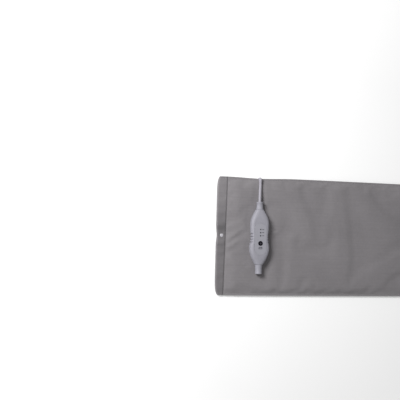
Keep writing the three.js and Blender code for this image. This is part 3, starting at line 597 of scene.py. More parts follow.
def to_object(name: str, mesh: bmesh.types.BMesh) -> Piece:
    """Turn a bmesh into an object at the origin and free the bmesh.

    Args:
        name: The piece's name.
        mesh: The finished bmesh.

    Returns:
        The new object.
    """
    data = bpy.data.meshes.new(name)
    mesh.to_mesh(data)
    mesh.free()
    return link_object(name, data)


def shaped_mesh(piece: Piece) -> bpy.types.Mesh:
    """Return a new mesh of a piece as its modifiers, or its curve, shape it.

    Args:
        piece: The piece, which stays as it is.

    Returns:
        The mesh.
    """
    graph = bpy.context.evaluated_depsgraph_get()
    layers = {"preserve_all_data_layers": True, "depsgraph": graph}
    return bpy.data.meshes.new_from_object(piece.evaluated_get(graph), **layers)


def bake_modifiers(piece: Piece) -> None:
    """Make a piece's modifiers part of its mesh.

    Args:
        piece: The piece.
    """
    plain, shaped = piece.data, shaped_mesh(piece)
    piece.modifiers.clear()
    piece.data = shaped
    shaped.name = piece.name
    bpy.data.meshes.remove(plain)


def draw(mesh: bmesh.types.BMesh, curve: bpy.types.Curve, place: Matrix) -> None:
    """Add what a curve or a text draws to a bmesh, and remove it.

    Args:
        mesh: The bmesh that takes it.
        curve: The curve or the text.
        place: Where its origin goes.
    """
    holder = link_object(curve.name, curve)
    data = shaped_mesh(holder)
    data.transform(place)
    mesh.from_mesh(data)
    bpy.data.objects.remove(holder)
    bpy.data.curves.remove(curve)
    bpy.data.meshes.remove(data)


def cut(piece: Piece, tool: Piece, carve: Carve = Carve.CUT) -> None:
    """Take a tool's shape out of a piece, or join it on, and remove the tool.

    Args:
        piece: The closed piece that is changed.
        tool: The closed shape.
        carve: What the tool does.
    """
    modifier = piece.modifiers.new("carve", "BOOLEAN")
    modifier.operation = carve.value
    modifier.solver = "EXACT"
    modifier.object = tool
    bake_modifiers(piece)
    data = tool.data
    bpy.data.objects.remove(tool)
    bpy.data.meshes.remove(data)


def round_edges(piece: Piece, width: float, segments: int, degrees: float) -> None:
    """Bevel a piece's sharp edges for good.

    Args:
        piece: The piece.
        width: Width of the bevel.
        segments: Steps across it.
        degrees: Edges sharper than this angle are rounded.
    """
    modifier = piece.modifiers.new("edges", "BEVEL")
    modifier.width = width
    modifier.segments = segments
    modifier.limit_method = "ANGLE"
    modifier.angle_limit = math.radians(degrees)
    bake_modifiers(piece)


def give_wall(piece: Piece, thickness: float) -> None:
    """Give an open sheet a thickness behind its face, as a modifier that is still to be baked."""
    solid = piece.modifiers.new("thickness", "SOLIDIFY")
    solid.thickness, solid.offset = thickness, -1.0


def close_up(mesh: bmesh.types.BMesh) -> None:
    """Merge a bmesh's doubled points and turn its faces outward."""
    bmesh.ops.remove_doubles(mesh, verts=mesh.verts, dist=SAME_POINT)
    bmesh.ops.recalc_face_normals(mesh, faces=mesh.faces)


def spun(name: str, profile: Outline, steps: int, frame: Matrix) -> Piece:
    """Turn a profile about an axis.

    Args:
        name: The piece's name.
        profile: Points as radius and height, from one end of the shape's outside to the other.
        steps: Steps round the full turn.
        frame: Where the shape's own Z axis and origin go.

    Returns:
        The closed piece.
    """
    mesh = bmesh.new()
    points = [mesh.verts.new((radius, 0.0, height)) for radius, height in profile]
    edges = [mesh.edges.new(pair) for pair in zip(points, points[1:])]
    turn = {"cent": (0.0, 0.0, 0.0), "axis": UP, "angle": 2.0 * math.pi, "use_merge": True}
    bmesh.ops.spin(mesh, geom=points + edges, steps=steps, **turn)
    close_up(mesh)
    bmesh.ops.transform(mesh, matrix=frame, verts=mesh.verts)
    return to_object(name, mesh)


def arc(center: Span, radius: float, start: float, end: float, steps: int) -> Outline:
    """Return points along an arc.

    Args:
        center: The arc's centre.
        radius: Its radius.
        start: Its first angle in degrees.
        end: Its last angle in degrees.
        steps: Steps along it.

    Returns:
        The points, both ends included.
    """
    angles = [math.radians(lerp(start, end, i / steps)) for i in range(steps + 1)]
    return [(center[0] + radius * math.cos(a), center[1] + radius * math.sin(a)) for a in angles]


def raise_faces(mesh: bmesh.types.BMesh, height: float) -> None:
    """Raise every flat face of a bmesh into a closed solid.

    Args:
        mesh: The bmesh, which is changed.
        height: Height of the solids.
    """
    mesh.normal_update()
    bases = mesh.faces[:]
    bmesh.ops.reverse_faces(mesh, faces=[face for face in bases if face.normal.z < 0.0])
    raised = bmesh.ops.extrude_face_region(mesh, geom=bases)
    tops = [item for item in raised["geom"] if isinstance(item, bmesh.types.BMVert)]
    bmesh.ops.translate(mesh, verts=tops, vec=(0.0, 0.0, height))
    mesh.normal_update()


def prism(name: str, low: float, high: float, *outlines: Outline) -> Piece:
    """Raise flat outlines into closed solids.

    Args:
        name: The piece's name.
        low: Height of the lower faces.
        high: Height of the upper faces.
        outlines: Points in X and Y, once round each.

    Returns:
        The closed piece.
    """
    mesh = bmesh.new()
    for outline in outlines:
        mesh.faces.new([mesh.verts.new((x, y, low)) for x, y in outline])
    raise_faces(mesh, high - low)
    return to_object(name, mesh)


def add_cylinder(mesh: bmesh.types.BMesh, diameter: float, low: Vector, height: float, sides: int) -> None:
    """Add an upright cylinder to a bmesh.

    Args:
        mesh: The bmesh.
        diameter: The cylinder's diameter.
        low: Middle of its lower face.
        height: Its height.
        sides: Its sides.
    """
    place = Matrix.Translation(low + UP * (height / 2.0))
    size = {"radius1": diameter / 2.0, "radius2": diameter / 2.0, "depth": height, "segments": sides}
    bmesh.ops.create_cone(mesh, cap_ends=True, matrix=place, **size)


def sheet_mesh(
    columns: int,
    rows: int,
    place: Callable[[int, int], Vector],
    flat: Callable[[int, int], Span],
) -> bmesh.types.BMesh:
    """Shape a grid into one sheet.

    Args:
        columns: Count of steps along X.
        rows: Count of steps along Y.
        place: Gives the point at a column and row.
        flat: Gives the sheet's own flat coordinates there.

    Returns:
        The open bmesh, facing up, with its flat coordinates in a map.
    """
    mesh = bmesh.new()
    bmesh.ops.create_grid(mesh, x_segments=columns, y_segments=rows, size=1.0)
    chart = mesh.loops.layers.uv.new(CLOTH_MAP)
    spots = {v: (round((v.co.x + 1) / 2 * columns), round((v.co.y + 1) / 2 * rows)) for v in mesh.verts}
    for face in mesh.faces:
        for loop in face.loops:
            loop[chart].uv = flat(*spots[loop.vert])
    for vert, spot in spots.items():
        vert.co = place(*spot)
    mesh.normal_update()
    return mesh


def swept(name: str, line: Sequence[Vector], diameters: Sequence[float], sides: int = 40) -> Piece:
    """Sweep a round tube along a line.

    Args:
        name: The piece's name.
        line: The points that its middle follows.
        diameters: Its diameter at each point.
        sides: Its sides.

    Returns:
        The closed tube.
    """
    curve = bpy.data.curves.new(name, "CURVE")
    curve.dimensions = "3D"
    curve.bevel_depth = 0.5
    curve.bevel_resolution = sides // 4 - 1
    curve.use_fill_caps = True
    spline = curve.splines.new("POLY")
    spline.points.add(len(line) - 1)
    for point, place, diameter in zip(spline.points, line, diameters):
        point.co = (*place, 1.0)
        point.radius = diameter
    mesh = bmesh.new()
    draw(mesh, curve, Matrix())
    close_up(mesh)
    return to_object(name, mesh)


@dataclass
class Workshop:
    """What every sub-assembly needs: the frame and the materials."""

    frame: dict
    palette: Palette

    def joint_place(self, name: str) -> Vector:
        """Return where a joint of the frame has its axis."""
        return Vector(next(joint["pos_m"] for joint in self.frame["joints"] if joint["name"] == name))

    def finish_piece(
        self,
        piece: Piece,
        finish: Finish,
        slot: Slot,
        nodes: Sequence[str] = (),
        body: Body | None = None,
        smooth: Smooth | None = None,
    ) -> Piece:
        """Shade and dress a piece, let it stand for its nodes and put it on its body.

        Args:
            piece: The piece.
            finish: Its finish.
            slot: The record's slot that it belongs to; not used.
            nodes: The frame's nodes that it replaces.
            body: The body that it rides on, if any.
            smooth: The angle that tells its sharp edges, unless it is shaded flat.

        Returns:
            The same piece.
        """
        if smooth:
            for polygon in piece.data.polygons:
                polygon.use_smooth = True
            piece.data.set_sharp_from_angle(angle=math.radians(smooth.value))
        self.palette.dress(piece, finish)
        if nodes:
            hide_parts(*nodes)
        if body:
            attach(piece, body.value)
        return piece


# The pad's cover


@dataclass(frozen=True)
class Crease:
    """A soft fold in the cloth: a ridge from one point to another."""

    start: Span
    end: Span
    height: float
    width: float
    fade_in: Span = (-0.1, 0.15)
    fade_out: Span = (0.55, 1.1)

    def lift(self, x: float, y: float) -> float:
        """Return the fold's height at a point of the pad.

        Args:
            x: Place along the pad.
            y: Place across it.

        Returns:
            The height.
        """
        along = Vector(self.end) - Vector(self.start)
        offset = Vector((x, y)) - Vector(self.start)
        t = offset.dot(along) / along.length_squared
        across = abs(offset.x * along.y - offset.y * along.x) / along.length
        fade = smoothstep(*self.fade_in, t) * (1.0 - smoothstep(*self.fade_out, t))
        return self.height * fade * bump_at(across, self.width)


@dataclass
class Cover:
    """The fabric cover: an upper sheet with its hem, a lower sheet, and the sewing."""

    shop: Workshop
    cloth: float = 1.2 * MM
    end_draw: float = 6.0 * MM
    end_draw_power: int = 16
    side_draw: float = 1.5 * MM
    side_draw_power: int = 8
    outlet_pull: float = 3.0 * MM
    outlet_pull_reach: float = 60.0 * MM
    edge_lift: float = 2.0 * MM
    side_run: float = 22.0 * MM
    crown: float = 1.2 * MM
    hem_width: float = 24.0 * MM
    hem_lift: float = 1.0 * MM
    mouth_run: float = 25.0 * MM
    hem_under: float = 5.5 * MM
    front_under: float = 8.1 * MM
    stitch_slant: float = 0.018
    snap_inset: float = 13.8 * MM
    snap_pull: float = 2.0 * MM
    snap_pull_reach: float = 14.0 * MM
    seam_inset: float = 5.0 * MM
    seam_depth: float = 0.35 * MM
    groove_depth: float = 1.1 * MM
    groove_width: float = 1.3 * MM
    # painted shade on the hem's folds, stronger low down on the hem
    hem_painted_shade: float = 0.05
    hem_low_painted_shade: float = 0.18
    hem_low_from: Span = (30.0 * MM, 110.0 * MM)
    # painted shade of the fold gathered above the snap
    snap_fold_painted_shade: float = 0.18
    snap_fold_painted_shade_at: float = 18.0 * MM
    snap_fold_painted_shade_reach: float = 14.0 * MM
    # painted highlight along the hem's free edge
    edge_painted_highlight: float = 0.45
    edge_painted_highlight_reach: float = 2.4 * MM
    # painted shade along the stitch groove
    stitch_painted_shade: float = 0.28
    stitch_painted_shade_reach: float = 1.6 * MM
    hem_fold: float = 0.5 * MM
    snap_dimple: float = 0.5 * MM
    snap_dimple_reach: float = 6.0 * MM
    bend_reach: float = 5.0 * MM
    notch_half: float = 3.95 * MM
    notch_depth: float = 5.0 * MM
    notch_corner: float = 3.9 * MM
    notch_height: float = 20.0 * MM
    notch_steps: int = 5
    column_pitch: float = 6.0 * MM
    row_pitch: float = 5.0 * MM
    snap_row_pitch: float = 2.5 * MM
    snap_zone: float = 30.0 * MM
    load_reach: float = 8.0 * MM
    layer_gap: float = 0.15 * MM
    layer_run: float = 8.0 * MM
    held_seam: float = 6.0 * MM
    held_stitch: float = 2.6 * MM
    held_snap: float = 5.0 * MM
    loaded_hold: float = 0.5
    loose_hold: float = 0.06
    most_shift: float = 1.5 * MM
    slack: float = 0.004
    frames: int = 24
    seam_steps: int = 120
    seam_start: float = 2.0 * MM
    hem_seam_share: float = 0.985
    side_seam_share: float = 0.97
    end_seam_share: float = 0.95
    stitch_pitch: float = 3.2 * MM
    stitch_length: float = 2.7 * MM
    stitch_sides: tuple[int, int] = (8, 6)
    thread: float = 0.5 * MM
    thread_lift: float = 0.08 * MM
    probe: float = 50.0 * MM
    ripples: tuple[Triple, ...] = ((0.065, 0.55 * MM, 3.1), (0.032, 0.35 * MM, 8.7))
    creases: tuple[Crease, ...] = (
        Crease((-0.306, 0.028), (-0.280, 0.026), 2.0 * MM, 8.0 * MM),
        Crease((-0.306, -0.018), (-0.280, -0.022), 2.0 * MM, 6.0 * MM),
        Crease((-0.306, -0.041), (-0.280, -0.046), 1.5 * MM, 6.0 * MM),
        Crease((-0.280, -0.013), (-0.237, 0.018), 1.6 * MM, 6.0 * MM),
        Crease((-0.280, -0.034), (-0.230, -0.002), 1.9 * MM, 7.0 * MM),
        Crease((-0.282, 0.020), (-0.240, 0.034), 0.8 * MM, 7.0 * MM),
        Crease((-0.280, -0.050), (-0.236, -0.080), 0.9 * MM, 8.0 * MM),
        Crease((-0.260, 0.135), (-0.236, 0.020), 0.7 * MM, 14.0 * MM),
        Crease((-0.150, 0.120), (-0.020, 0.020), 0.8 * MM, 18.0 * MM),
        Crease((-0.120, -0.040), (0.060, -0.120), 0.9 * MM, 16.0 * MM),
        Crease((0.080, 0.130), (0.240, -0.010), 0.9 * MM, 18.0 * MM),
        Crease((0.110, -0.100), (0.270, -0.060), 0.7 * MM, 15.0 * MM),
    )
    settling: dict[str, float] = field(
        default_factory=lambda: {
            "quality": 7,
            "mass": 0.2,
            "tension_stiffness": 20.0,
            "compression_stiffness": 20.0,
            "shear_stiffness": 8.0,
            "bending_stiffness": 4.0,
            "pin_stiffness": 1.0,
        }
    )
    half_length: float = field(init=False)
    half_width: float = field(init=False)
    outlet_x: float = field(init=False)
    layer: tuple[Vector, Vector] = field(init=False)
    loads: list[tuple[Vector, Vector]] = field(init=False)

    def __post_init__(self) -> None:
        """Take the pad's overall size, and the boxes of what lies on it, from the frame."""
        low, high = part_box("cover_back_panel")
        self.half_length = (high.x - low.x) / 2.0
        self.half_width = (high.y - low.y) / 2.0
        self.outlet_x = middle_of("lead_outlet")[0]
        self.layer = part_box("inner_pad_upper_layer")
        lying = ("controller_rear_shell", "lower_neck", "upper_neck", "pad_lead")
        self.loads = [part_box(node) for node in lying]

    # Shape of the cover at a place x along the pad and v across it, from -1 to 1

    def end_reach(self, v: float) -> float:
        """Return how far the cover's closed end reaches along X."""
        return self.half_length - self.end_draw * v**self.end_draw_power

    def open_end(self, v: float) -> float:
        """Return where the hem's free edge lies along X."""
        gather = self.snap_pull * bump_at(v * self.half_width, self.snap_pull_reach)
        return gather - self.end_reach(v)

    def side_reach(self, x: float, v: float) -> float:
        """Return how far the cover's long side on v's half reaches along Y."""
        pull = self.outlet_pull * bump_at(x - self.outlet_x, self.outlet_pull_reach) if v > 0.0 else 0.0
        return self.half_width - self.side_draw * (x / self.half_length) ** self.side_draw_power - pull

    def from_side(self, x: float, v: float) -> float:
        """Return how far a place lies in from the nearer long side."""
        return self.side_reach(x, v) * (1.0 - abs(v))

    def stitch_line(self, v: float) -> float:
        """Return where the hem's stitches lie along X."""
        return self.hem_width - self.half_length + self.stitch_slant * self.half_width * v

    def snap_place(self) -> Vector:
        """Return the snap's place in plan."""
        return Vector((self.snap_inset - self.half_length, 0.0))

    def share_across(self, x: float, y: float) -> float:
        """Return v for a place on the cover."""
        return clamp(y / self.side_reach(x, y), -1.0, 1.0)

    @staticmethod
    def rise(distance: float, run: float) -> float:
        """Return 0 at an edge and 1 where the cover has its full height."""
        short = 1.0 - clamp(distance / run, 0.0, 1.0)
        return 1.0 - short * short

    def mouth(self, x: float, v: float) -> float:
        """Return 0 on the hem and 1 where the cover behind it has its full height."""
        return self.rise(x - self.stitch_line(v), self.mouth_run)

    def fullness(self, x: float, v: float) -> float:
        """Return how full the cover is at a place, from 0 at its sewn edges to 1."""
        from_end = self.rise(self.end_reach(v) - x, self.side_run)
        return self.rise(self.from_side(x, v), self.side_run) * from_end

    def top(self, x: float, v: float) -> float:
        """Return the height of the upper sheet's outside.

        Args:
            x: Place along the pad.
            v: Place across it, from -1 to 1.

        Returns:
            The height.
        """
        mouth = self.mouth(x, v)
        swell = self.crown * mouth * (1.0 - (x / self.half_length) ** 2) * (1.0 - v * v)
        level = lerp(self.hem_under, self.front_under, mouth) + swell
        return lerp(self.edge_lift + self.cloth, level, self.fullness(x, v)) + self.cloth

    def under(self, x: float, v: float) -> float:
        """Return the height of the lower sheet's underside."""
        return lerp(self.edge_lift, self.hem_lift * (1.0 - self.mouth(x, v)), self.fullness(x, v))

    def sewing_depth(self, x: float, v: float) -> float:
        """Return how far the sewing draws the upper sheet down at a place.

        Args:
            x: Place along the pad.
            v: Place across it, from -1 to 1.

        Returns:
            The depth.
        """
        from_edge = min(self.from_side(x, v), self.end_reach(v) - x)
        seam = bump_at(from_edge - self.seam_inset, self.groove_width)
        groove = bump_at(x - self.stitch_line(v), self.groove_width)
        return self.seam_depth * seam + self.groove_depth * groove

    # Grids

    def rows(self) -> list[float]:
        """Return the sheet's rows across the pad, closer at its edges and at the snap.

        Returns:
            The rows, as v from -1 to 1.
        """
        near_edge = [d * MM for d in (0.0, 1.0, 2.2, 3.6, 5.0, 6.4, 8.5, 12.0, 16.0, 20.0)]
        middle = []
        distance = near_edge[-1] + self.row_pitch
        while distance < self.half_width:
            middle.append(distance)
            near_snap = self.half_width - distance < self.snap_zone
            distance += self.snap_row_pitch if near_snap else self.row_pitch
        lower = [d / self.half_width - 1.0 for d in near_edge + middle]
        return lower + [0.0] + [-v for v in reversed(lower)]

    def columns(self) -> list[Span]:
        """Return the sheet's columns along the pad, closer at its sewing.

        Returns:
            The columns, as shares of the hem and of the panel behind it.
        """
        hem = [0.0, 0.04, 0.1, 0.19, 0.31, 0.43, 0.54, 0.65, 0.75, 0.84, 0.91, 0.955]
        panel_length = 2.0 * self.half_length - self.hem_width
        behind = [d * MM for d in (0.0, 1.0, 2.0, 3.5, 6.0, 9.5, 14.0)]
        before_end = [d * MM for d in (14.0, 9.5, 6.4, 5.0, 3.6, 2.2, 1.0, 0.0)]
        span = panel_length - behind[-1] - before_end[0]
        steps = round(span / self.column_pitch)
        between = [behind[-1] + span * i / steps for i in range(1, steps)]
        panel = behind + between + [panel_length - d for d in before_end]
        return [(share, 0.0) for share in hem] + [(1.0, d / panel_length) for d in panel]

    def column_x(self, column: Span, v: float) -> float:
        """Return where a column lies along X on a row.

        Args:
            column: Its shares of the hem and of the panel behind it.
            v: The row.

        Returns:
            The place along X.
        """
        hem, panel = column
        stitch = self.stitch_line(v)
        if hem >= 1.0:
            return lerp(stitch, self.end_reach(v), panel)
        return lerp(self.open_end(v), stitch, hem)

    def open_sheet(self, name: str, height: Callable[[float, float, float], float]) -> Piece:
        """Build a sheet of the cover as a thin surface.

        Args:
            name: The piece's name.
            height: Gives the sheet's height from its place along, its place across, and v.

        Returns:
            The open sheet.
        """
        columns, rows = self.columns(), self.rows()

        def spot(i: int, j: int) -> Span:
            """Return the place in plan of a column and row."""
            x = self.column_x(columns[i], rows[j])
            return x, rows[j] * self.side_reach(x, rows[j])

        def place(i: int, j: int) -> Vector:
            """Return the point at a column and row."""
            x, y = spot(i, j)
            return Vector((x, y, height(x, y, rows[j])))

        return to_object(name, sheet_mesh(len(columns) - 1, len(rows) - 1, place, spot))

    def thicken(self, piece: Piece) -> None:
        """Give an open sheet the cloth's thickness, downwards, with soft edges.

        Args:
            piece: The sheet.
        """
        give_wall(piece, self.cloth)
        soft = piece.modifiers.new("soften", "SUBSURF")
        soft.levels = soft.render_levels = 1
        bake_modifiers(piece)

    # The upper sheet

    def upper_sheet(self) -> Piece:
        """Build, settle and thicken the upper sheet with its hem.

        Returns:
            The finished piece.
        """
        piece = self.open_sheet("cover_upper_sheet", self.start_height)
        self.settle(piece)
        self.press_sewing(piece)
        self.thicken(piece)
        self.notch_outlet(piece)
        # painted light and shade go into the cloth's colour here
        self.paint_light_and_shade(piece)
        nodes = ["cover_front_panel", "cover_front_hem"]
        return self.shop.finish_piece(piece, Finish.CLOTH, Slot.FABRIC, nodes, smooth=Smooth.CLOTH)

    def start_height(self, x: float, y: float, v: float) -> float:
        """Return the upper sheet's height before it is settled, with its soft folds begun.

        Args:
            x: Place along the pad.
            y: Place across it.
            v: The same place across, from -1 to 1.

        Returns:
            The height.
        """
        edge = smoothstep(0.0, self.side_run, self.half_width * (1.0 - abs(v)))
        edge *= smoothstep(0.0, self.side_run, self.end_reach(v) - x)
        folds = sum(crease.lift(x, y) for crease in self.creases)
        for pitch, height, seed in self.ripples:
            folds += height * (0.5 + 0.5 * noise.noise(Vector((x / pitch, y / pitch, seed))))
        return self.top(x, v) + edge * folds * self.off_controller(x, y)

    def off_controller(self, x: float, y: float) -> float:
        """Return 0 where the controller or its lead lies on the cloth, and 1 clear of them."""
        clear = min(max(low.x - x, x - high.x, low.y - y, y - high.y) for low, high in self.loads)
        return smoothstep(0.0, self.load_reach, clear)

    def settle(self, piece: Piece) -> None:
        """Let the sheet buckle softly as cloth, held at its sewing and its snap.

        Args:
            piece: The open sheet, whose points are moved.
        """
        for vert, after in zip(piece.data.vertices, self.draped(piece)):
            before = vert.co.copy()
            shift = after - before
            if shift.length > self.most_shift:
                shift *= self.most_shift / shift.length
            if self.off_controller(before.x, before.y) < 1.0:
                shift.z = min(shift.z, 0.0)
            vert.co = before + shift
            vert.co.z = max(vert.co.z, self.rest_height(vert.co))

    def draped(self, piece: Piece) -> list[Vector]:
        """Run the cloth simulation on a sheet and leave the sheet as it was.

        Args:
            piece: The open sheet.

        Returns:
            Where its points would lie.
        """
        pins = piece.vertex_groups.new(name="held")
        for vert in piece.data.vertices:
            pins.add([vert.index], self.hold(vert.co), "REPLACE")
        cloth = piece.modifiers.new("settle", "CLOTH")
        for key, value in self.settling.items():
            setattr(cloth.settings, key, value)
        cloth.settings.vertex_group_mass = pins.name
        cloth.settings.shrink_min = -self.slack
        cloth.settings.effector_weights.gravity = 0.0
        cloth.collision_settings.use_collision = False
        cloth.point_cache.frame_start, cloth.point_cache.frame_end = 1, self.frames
        for step in range(1, self.frames + 1):
            bpy.context.scene.frame_set(step)
        settled = shaped_mesh(piece)
        points = [vert.co.copy() for vert in settled.vertices]
        bpy.data.meshes.remove(settled)
        piece.modifiers.clear()
        bpy.context.scene.frame_set(1)
        return points

    def rest_height(self, point: Vector) -> float:
        """Return how low the upper sheet's outside may lie, where the heating layer carries it.

        Args:
            point: A point of the sheet.

        Returns:
            The least height.
        """
        low, high = self.layer
        inside = min(point.x - low.x, high.x - point.x, point.y - low.y, high.y - point.y)
        carried = smoothstep(-self.layer_run, 0.0, inside)
        return lerp(self.hem_under, high.z + self.layer_gap, carried) + self.cloth

    def hold(self, point: Vector) -> float:
        """Return how firmly a point of the upper sheet is held.

        Args:
            point: The point.

        Returns:
            The hold, from 0 to 1.
        """
        v = self.share_across(point.x, point.y)
        from_edge = min(self.half_width * (1.0 - abs(v)), self.end_reach(v) - point.x)
        from_stitch = abs(point.x - self.stitch_line(v))
        from_snap = (point.xy - self.snap_place()).length
        if from_edge < self.held_seam or from_stitch < self.held_stitch or from_snap < self.held_snap:
            return 1.0
        loaded = self.off_controller(point.x, point.y) < 0.5
        return self.loaded_hold if loaded else self.loose_hold

    def press_sewing(self, piece: Piece) -> None:
        """Draw the settled sheet down at its sewing and dimple it under the snap.

        Args:
            piece: The open sheet, whose points are moved.
        """
        for vert in piece.data.vertices:
            v = self.share_across(vert.co.x, vert.co.y)
            past_stitches = self.stitch_line(v) - vert.co.x
            on_hem = smoothstep(-self.groove_width, 2.0 * self.groove_width, past_stitches)
            from_snap = (vert.co.xy - self.snap_place()).length
            dimple = self.snap_dimple * bump_at(from_snap, self.snap_dimple_reach)
            vert.co.z += self.hem_fold * on_hem - dimple - self.sewing_depth(vert.co.x, v)

    def notch_outlet(self, piece: Piece) -> None:
        """Open the sheet's edge round the lead's outlet.

        Args:
            piece: The thick sheet, which is cut.
        """
        half, depth, corner = self.notch_half, self.notch_depth, self.notch_corner
        edge = self.side_reach(self.outlet_x, 1.0)
        left, right, near = self.outlet_x - half, self.outlet_x + half, edge - depth
        outline = arc((left + corner, near + corner), corner, 180.0, 270.0, self.notch_steps)
        outline += arc((right - corner, near + corner), corner, 270.0, 360.0, self.notch_steps)
        outline += [(right, edge + depth), (left, edge + depth)]
        cut(piece, prism("outlet_notch", 0.0, self.notch_height, outline))

    def paint_light_and_shade(self, piece: Piece) -> None:
        """Store on every point of a sheet its painted light and shade, as a share of its colour.

        Args:
            piece: The sheet.
        """
        marks = piece.data.attributes.new(PAINTED_LIGHT_MAP, "FLOAT", "POINT")
        for vert, mark in zip(piece.data.vertices, marks.data):
            mark.value = self.painted_light_at(vert.co.x, vert.co.y)

    def painted_light_at(self, x: float, y: float) -> float:
        """Return the painted light and shade on the cloth's colour at a place.

        Painted shade darkens the hem's folds, most low down and above the snap, and the stitch groove; a
        painted highlight lies along the hem's free edge.

        Args:
            x: Place along the pad.
            y: Place across it.

        Returns:
            The share, above 0 where it is lighter.
        """
        v = self.share_across(x, y)
        past_stitches = x - self.stitch_line(v)
        on_hem = 1.0 - smoothstep(-self.groove_width, 0.0, past_stitches)
        # painted shade on the hem's folds, stronger low down
        dark = self.hem_painted_shade + self.hem_low_painted_shade * (1.0 - smoothstep(*self.hem_low_from, y))
        # painted shade of the fold gathered above the snap
        dark += self.snap_fold_painted_shade * bump_at(y - self.snap_fold_painted_shade_at, self.snap_fold_painted_shade_reach)
        # painted highlight along the hem's free edge
        painted_highlight = self.edge_painted_highlight * bump_at(x - self.open_end(v), self.edge_painted_highlight_reach)
        # painted shade along the stitch groove
        return painted_highlight - on_hem * dark - self.stitch_painted_shade * bump_at(past_stitches, self.stitch_painted_shade_reach)

    # The lower sheet

    def lower_sheet(self) -> Piece:
        """Build the lower sheet with its hem.

        Returns:
            The finished piece.
        """
        piece = self.open_sheet("cover_lower_sheet", lambda x, y, v: self.under(x, v) + self.cloth)
        self.thicken(piece)
        for vert in piece.data.vertices:
            vert.co.z = max(vert.co.z, 0.0)
        nodes = ["cover_back_panel"]
        return self.shop.finish_piece(piece, Finish.CLOTH, Slot.FABRIC, nodes, Body.PAD, Smooth.CLOTH)

    # Sewing

    def seam_lines(self) -> list[list[Vector]]:
        """Return the lines that are sewn: the hem's, both long sides' and the closed end's.

        Returns:
            The lines, as points over the pad.
        """
        inset = self.seam_inset
        shares = [i / self.seam_steps for i in range(self.seam_steps + 1)]
        hem = [lerp(-self.hem_seam_share, self.hem_seam_share, t) for t in shares]
        lines = [[Vector((self.stitch_line(v), v * self.half_width, 0.0)) for v in hem]]
        right = self.half_length - inset
        for side in (-1.0, 1.0):
            left = self.open_end(self.side_seam_share * side) + self.seam_start
            along = [lerp(left, right - inset, t) for t in shares]
            lines.append([Vector((x, side * (self.side_reach(x, side) - inset), 0.0)) for x in along])
        across = [lerp(-self.end_seam_share, self.end_seam_share, t) for t in shares]
        lines.append([Vector((self.end_reach(v) - inset, v * self.half_width, 0.0)) for v in across])
        return lines

    def stitches(self, tree: BVHTree, line: Sequence[Vector], outward: Vector) -> list[Matrix]:
        """Lay stitches along one line.

        Args:
            tree: The cloth that they lie on.
            line: Points over the pad.
            outward: Up or down, to the side that is sewn.

        Returns:
            The place, turn and size of each stitch.
        """
        frames = []
        walked, target = 0.0, self.stitch_pitch / 2.0
        for a, b in zip(line, line[1:]):
            step = (b - a).length
            while target <= walked + step:
                spot = a.lerp(b, (target - walked) / step)
                target += self.stitch_pitch
                point, normal, *_ = tree.ray_cast(spot + outward * self.probe, -outward)
                if point is None:
                    continue
                across = normal.cross(b - a).normalized()
                forward = across.cross(normal).normalized()
                size = Matrix.Diagonal((self.stitch_length / 2.0, self.thread / 2.0, self.thread / 2.0))
                axes = Matrix((forward, across, normal)).transposed() @ size
                frames.append(Matrix.Translation(point + normal * self.thread_lift) @ axes.to_4x4())
            walked += step
        return frames

    def sewing(
        self, name: str, sheet: Piece, lines: list[list[Vector]], outward: Vector, finish: Finish
    ) -> Piece:
        """Sew stitches along lines on one side of a sheet.

        Args:
            name: The piece's name.
            sheet: The finished sheet that they lie on.
            lines: The lines, as points over the pad.
            outward: Up or down, to the side that is sewn.
            finish: The thread's finish.

        Returns:
            The stitches as one finished piece.
        """
        tree = BVHTree.FromObject(sheet, bpy.context.evaluated_depsgraph_get())
        sides = dict(zip(("u_segments", "v_segments"), self.stitch_sides))
        one, mesh = bmesh.new(), bmesh.new()
        bmesh.ops.create_uvsphere(one, radius=1.0, **sides)
        one.verts.index_update()
        for line in lines:
            for frame in self.stitches(tree, line, outward):
                verts = [mesh.verts.new(frame @ vert.co) for vert in one.verts]
                for face in one.faces:
                    mesh.faces.new([verts[vert.index] for vert in face.verts])
        one.free()
        piece = to_object(name, mesh)
        return self.shop.finish_piece(piece, finish, Slot.FABRIC, smooth=Smooth.THREAD)

    def build(self) -> list[Piece]:
        """Build the cover's pieces.

        Returns:
            The pieces.
        """
        upper = self.upper_sheet()
        hem_line, *edge_lines = self.seam_lines()
        stitches = self.sewing("cover_hem_stitches", upper, [hem_line], UP, Finish.HEM_THREAD)
        edging = self.sewing("cover_edge_stitches", upper, edge_lines, UP, Finish.EDGE_THREAD)
        fold = self.shop.joint_place("hem_flap_fold")
        for piece in (upper, stitches, edging):
            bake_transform(piece)
        lower = self.lower_sheet()
        under = self.sewing("cover_under_stitches", lower, [hem_line, *edge_lines], -UP, Finish.EDGE_THREAD)
        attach(under, Body.PAD.value)
        return [upper, stitches, edging, lower, under]


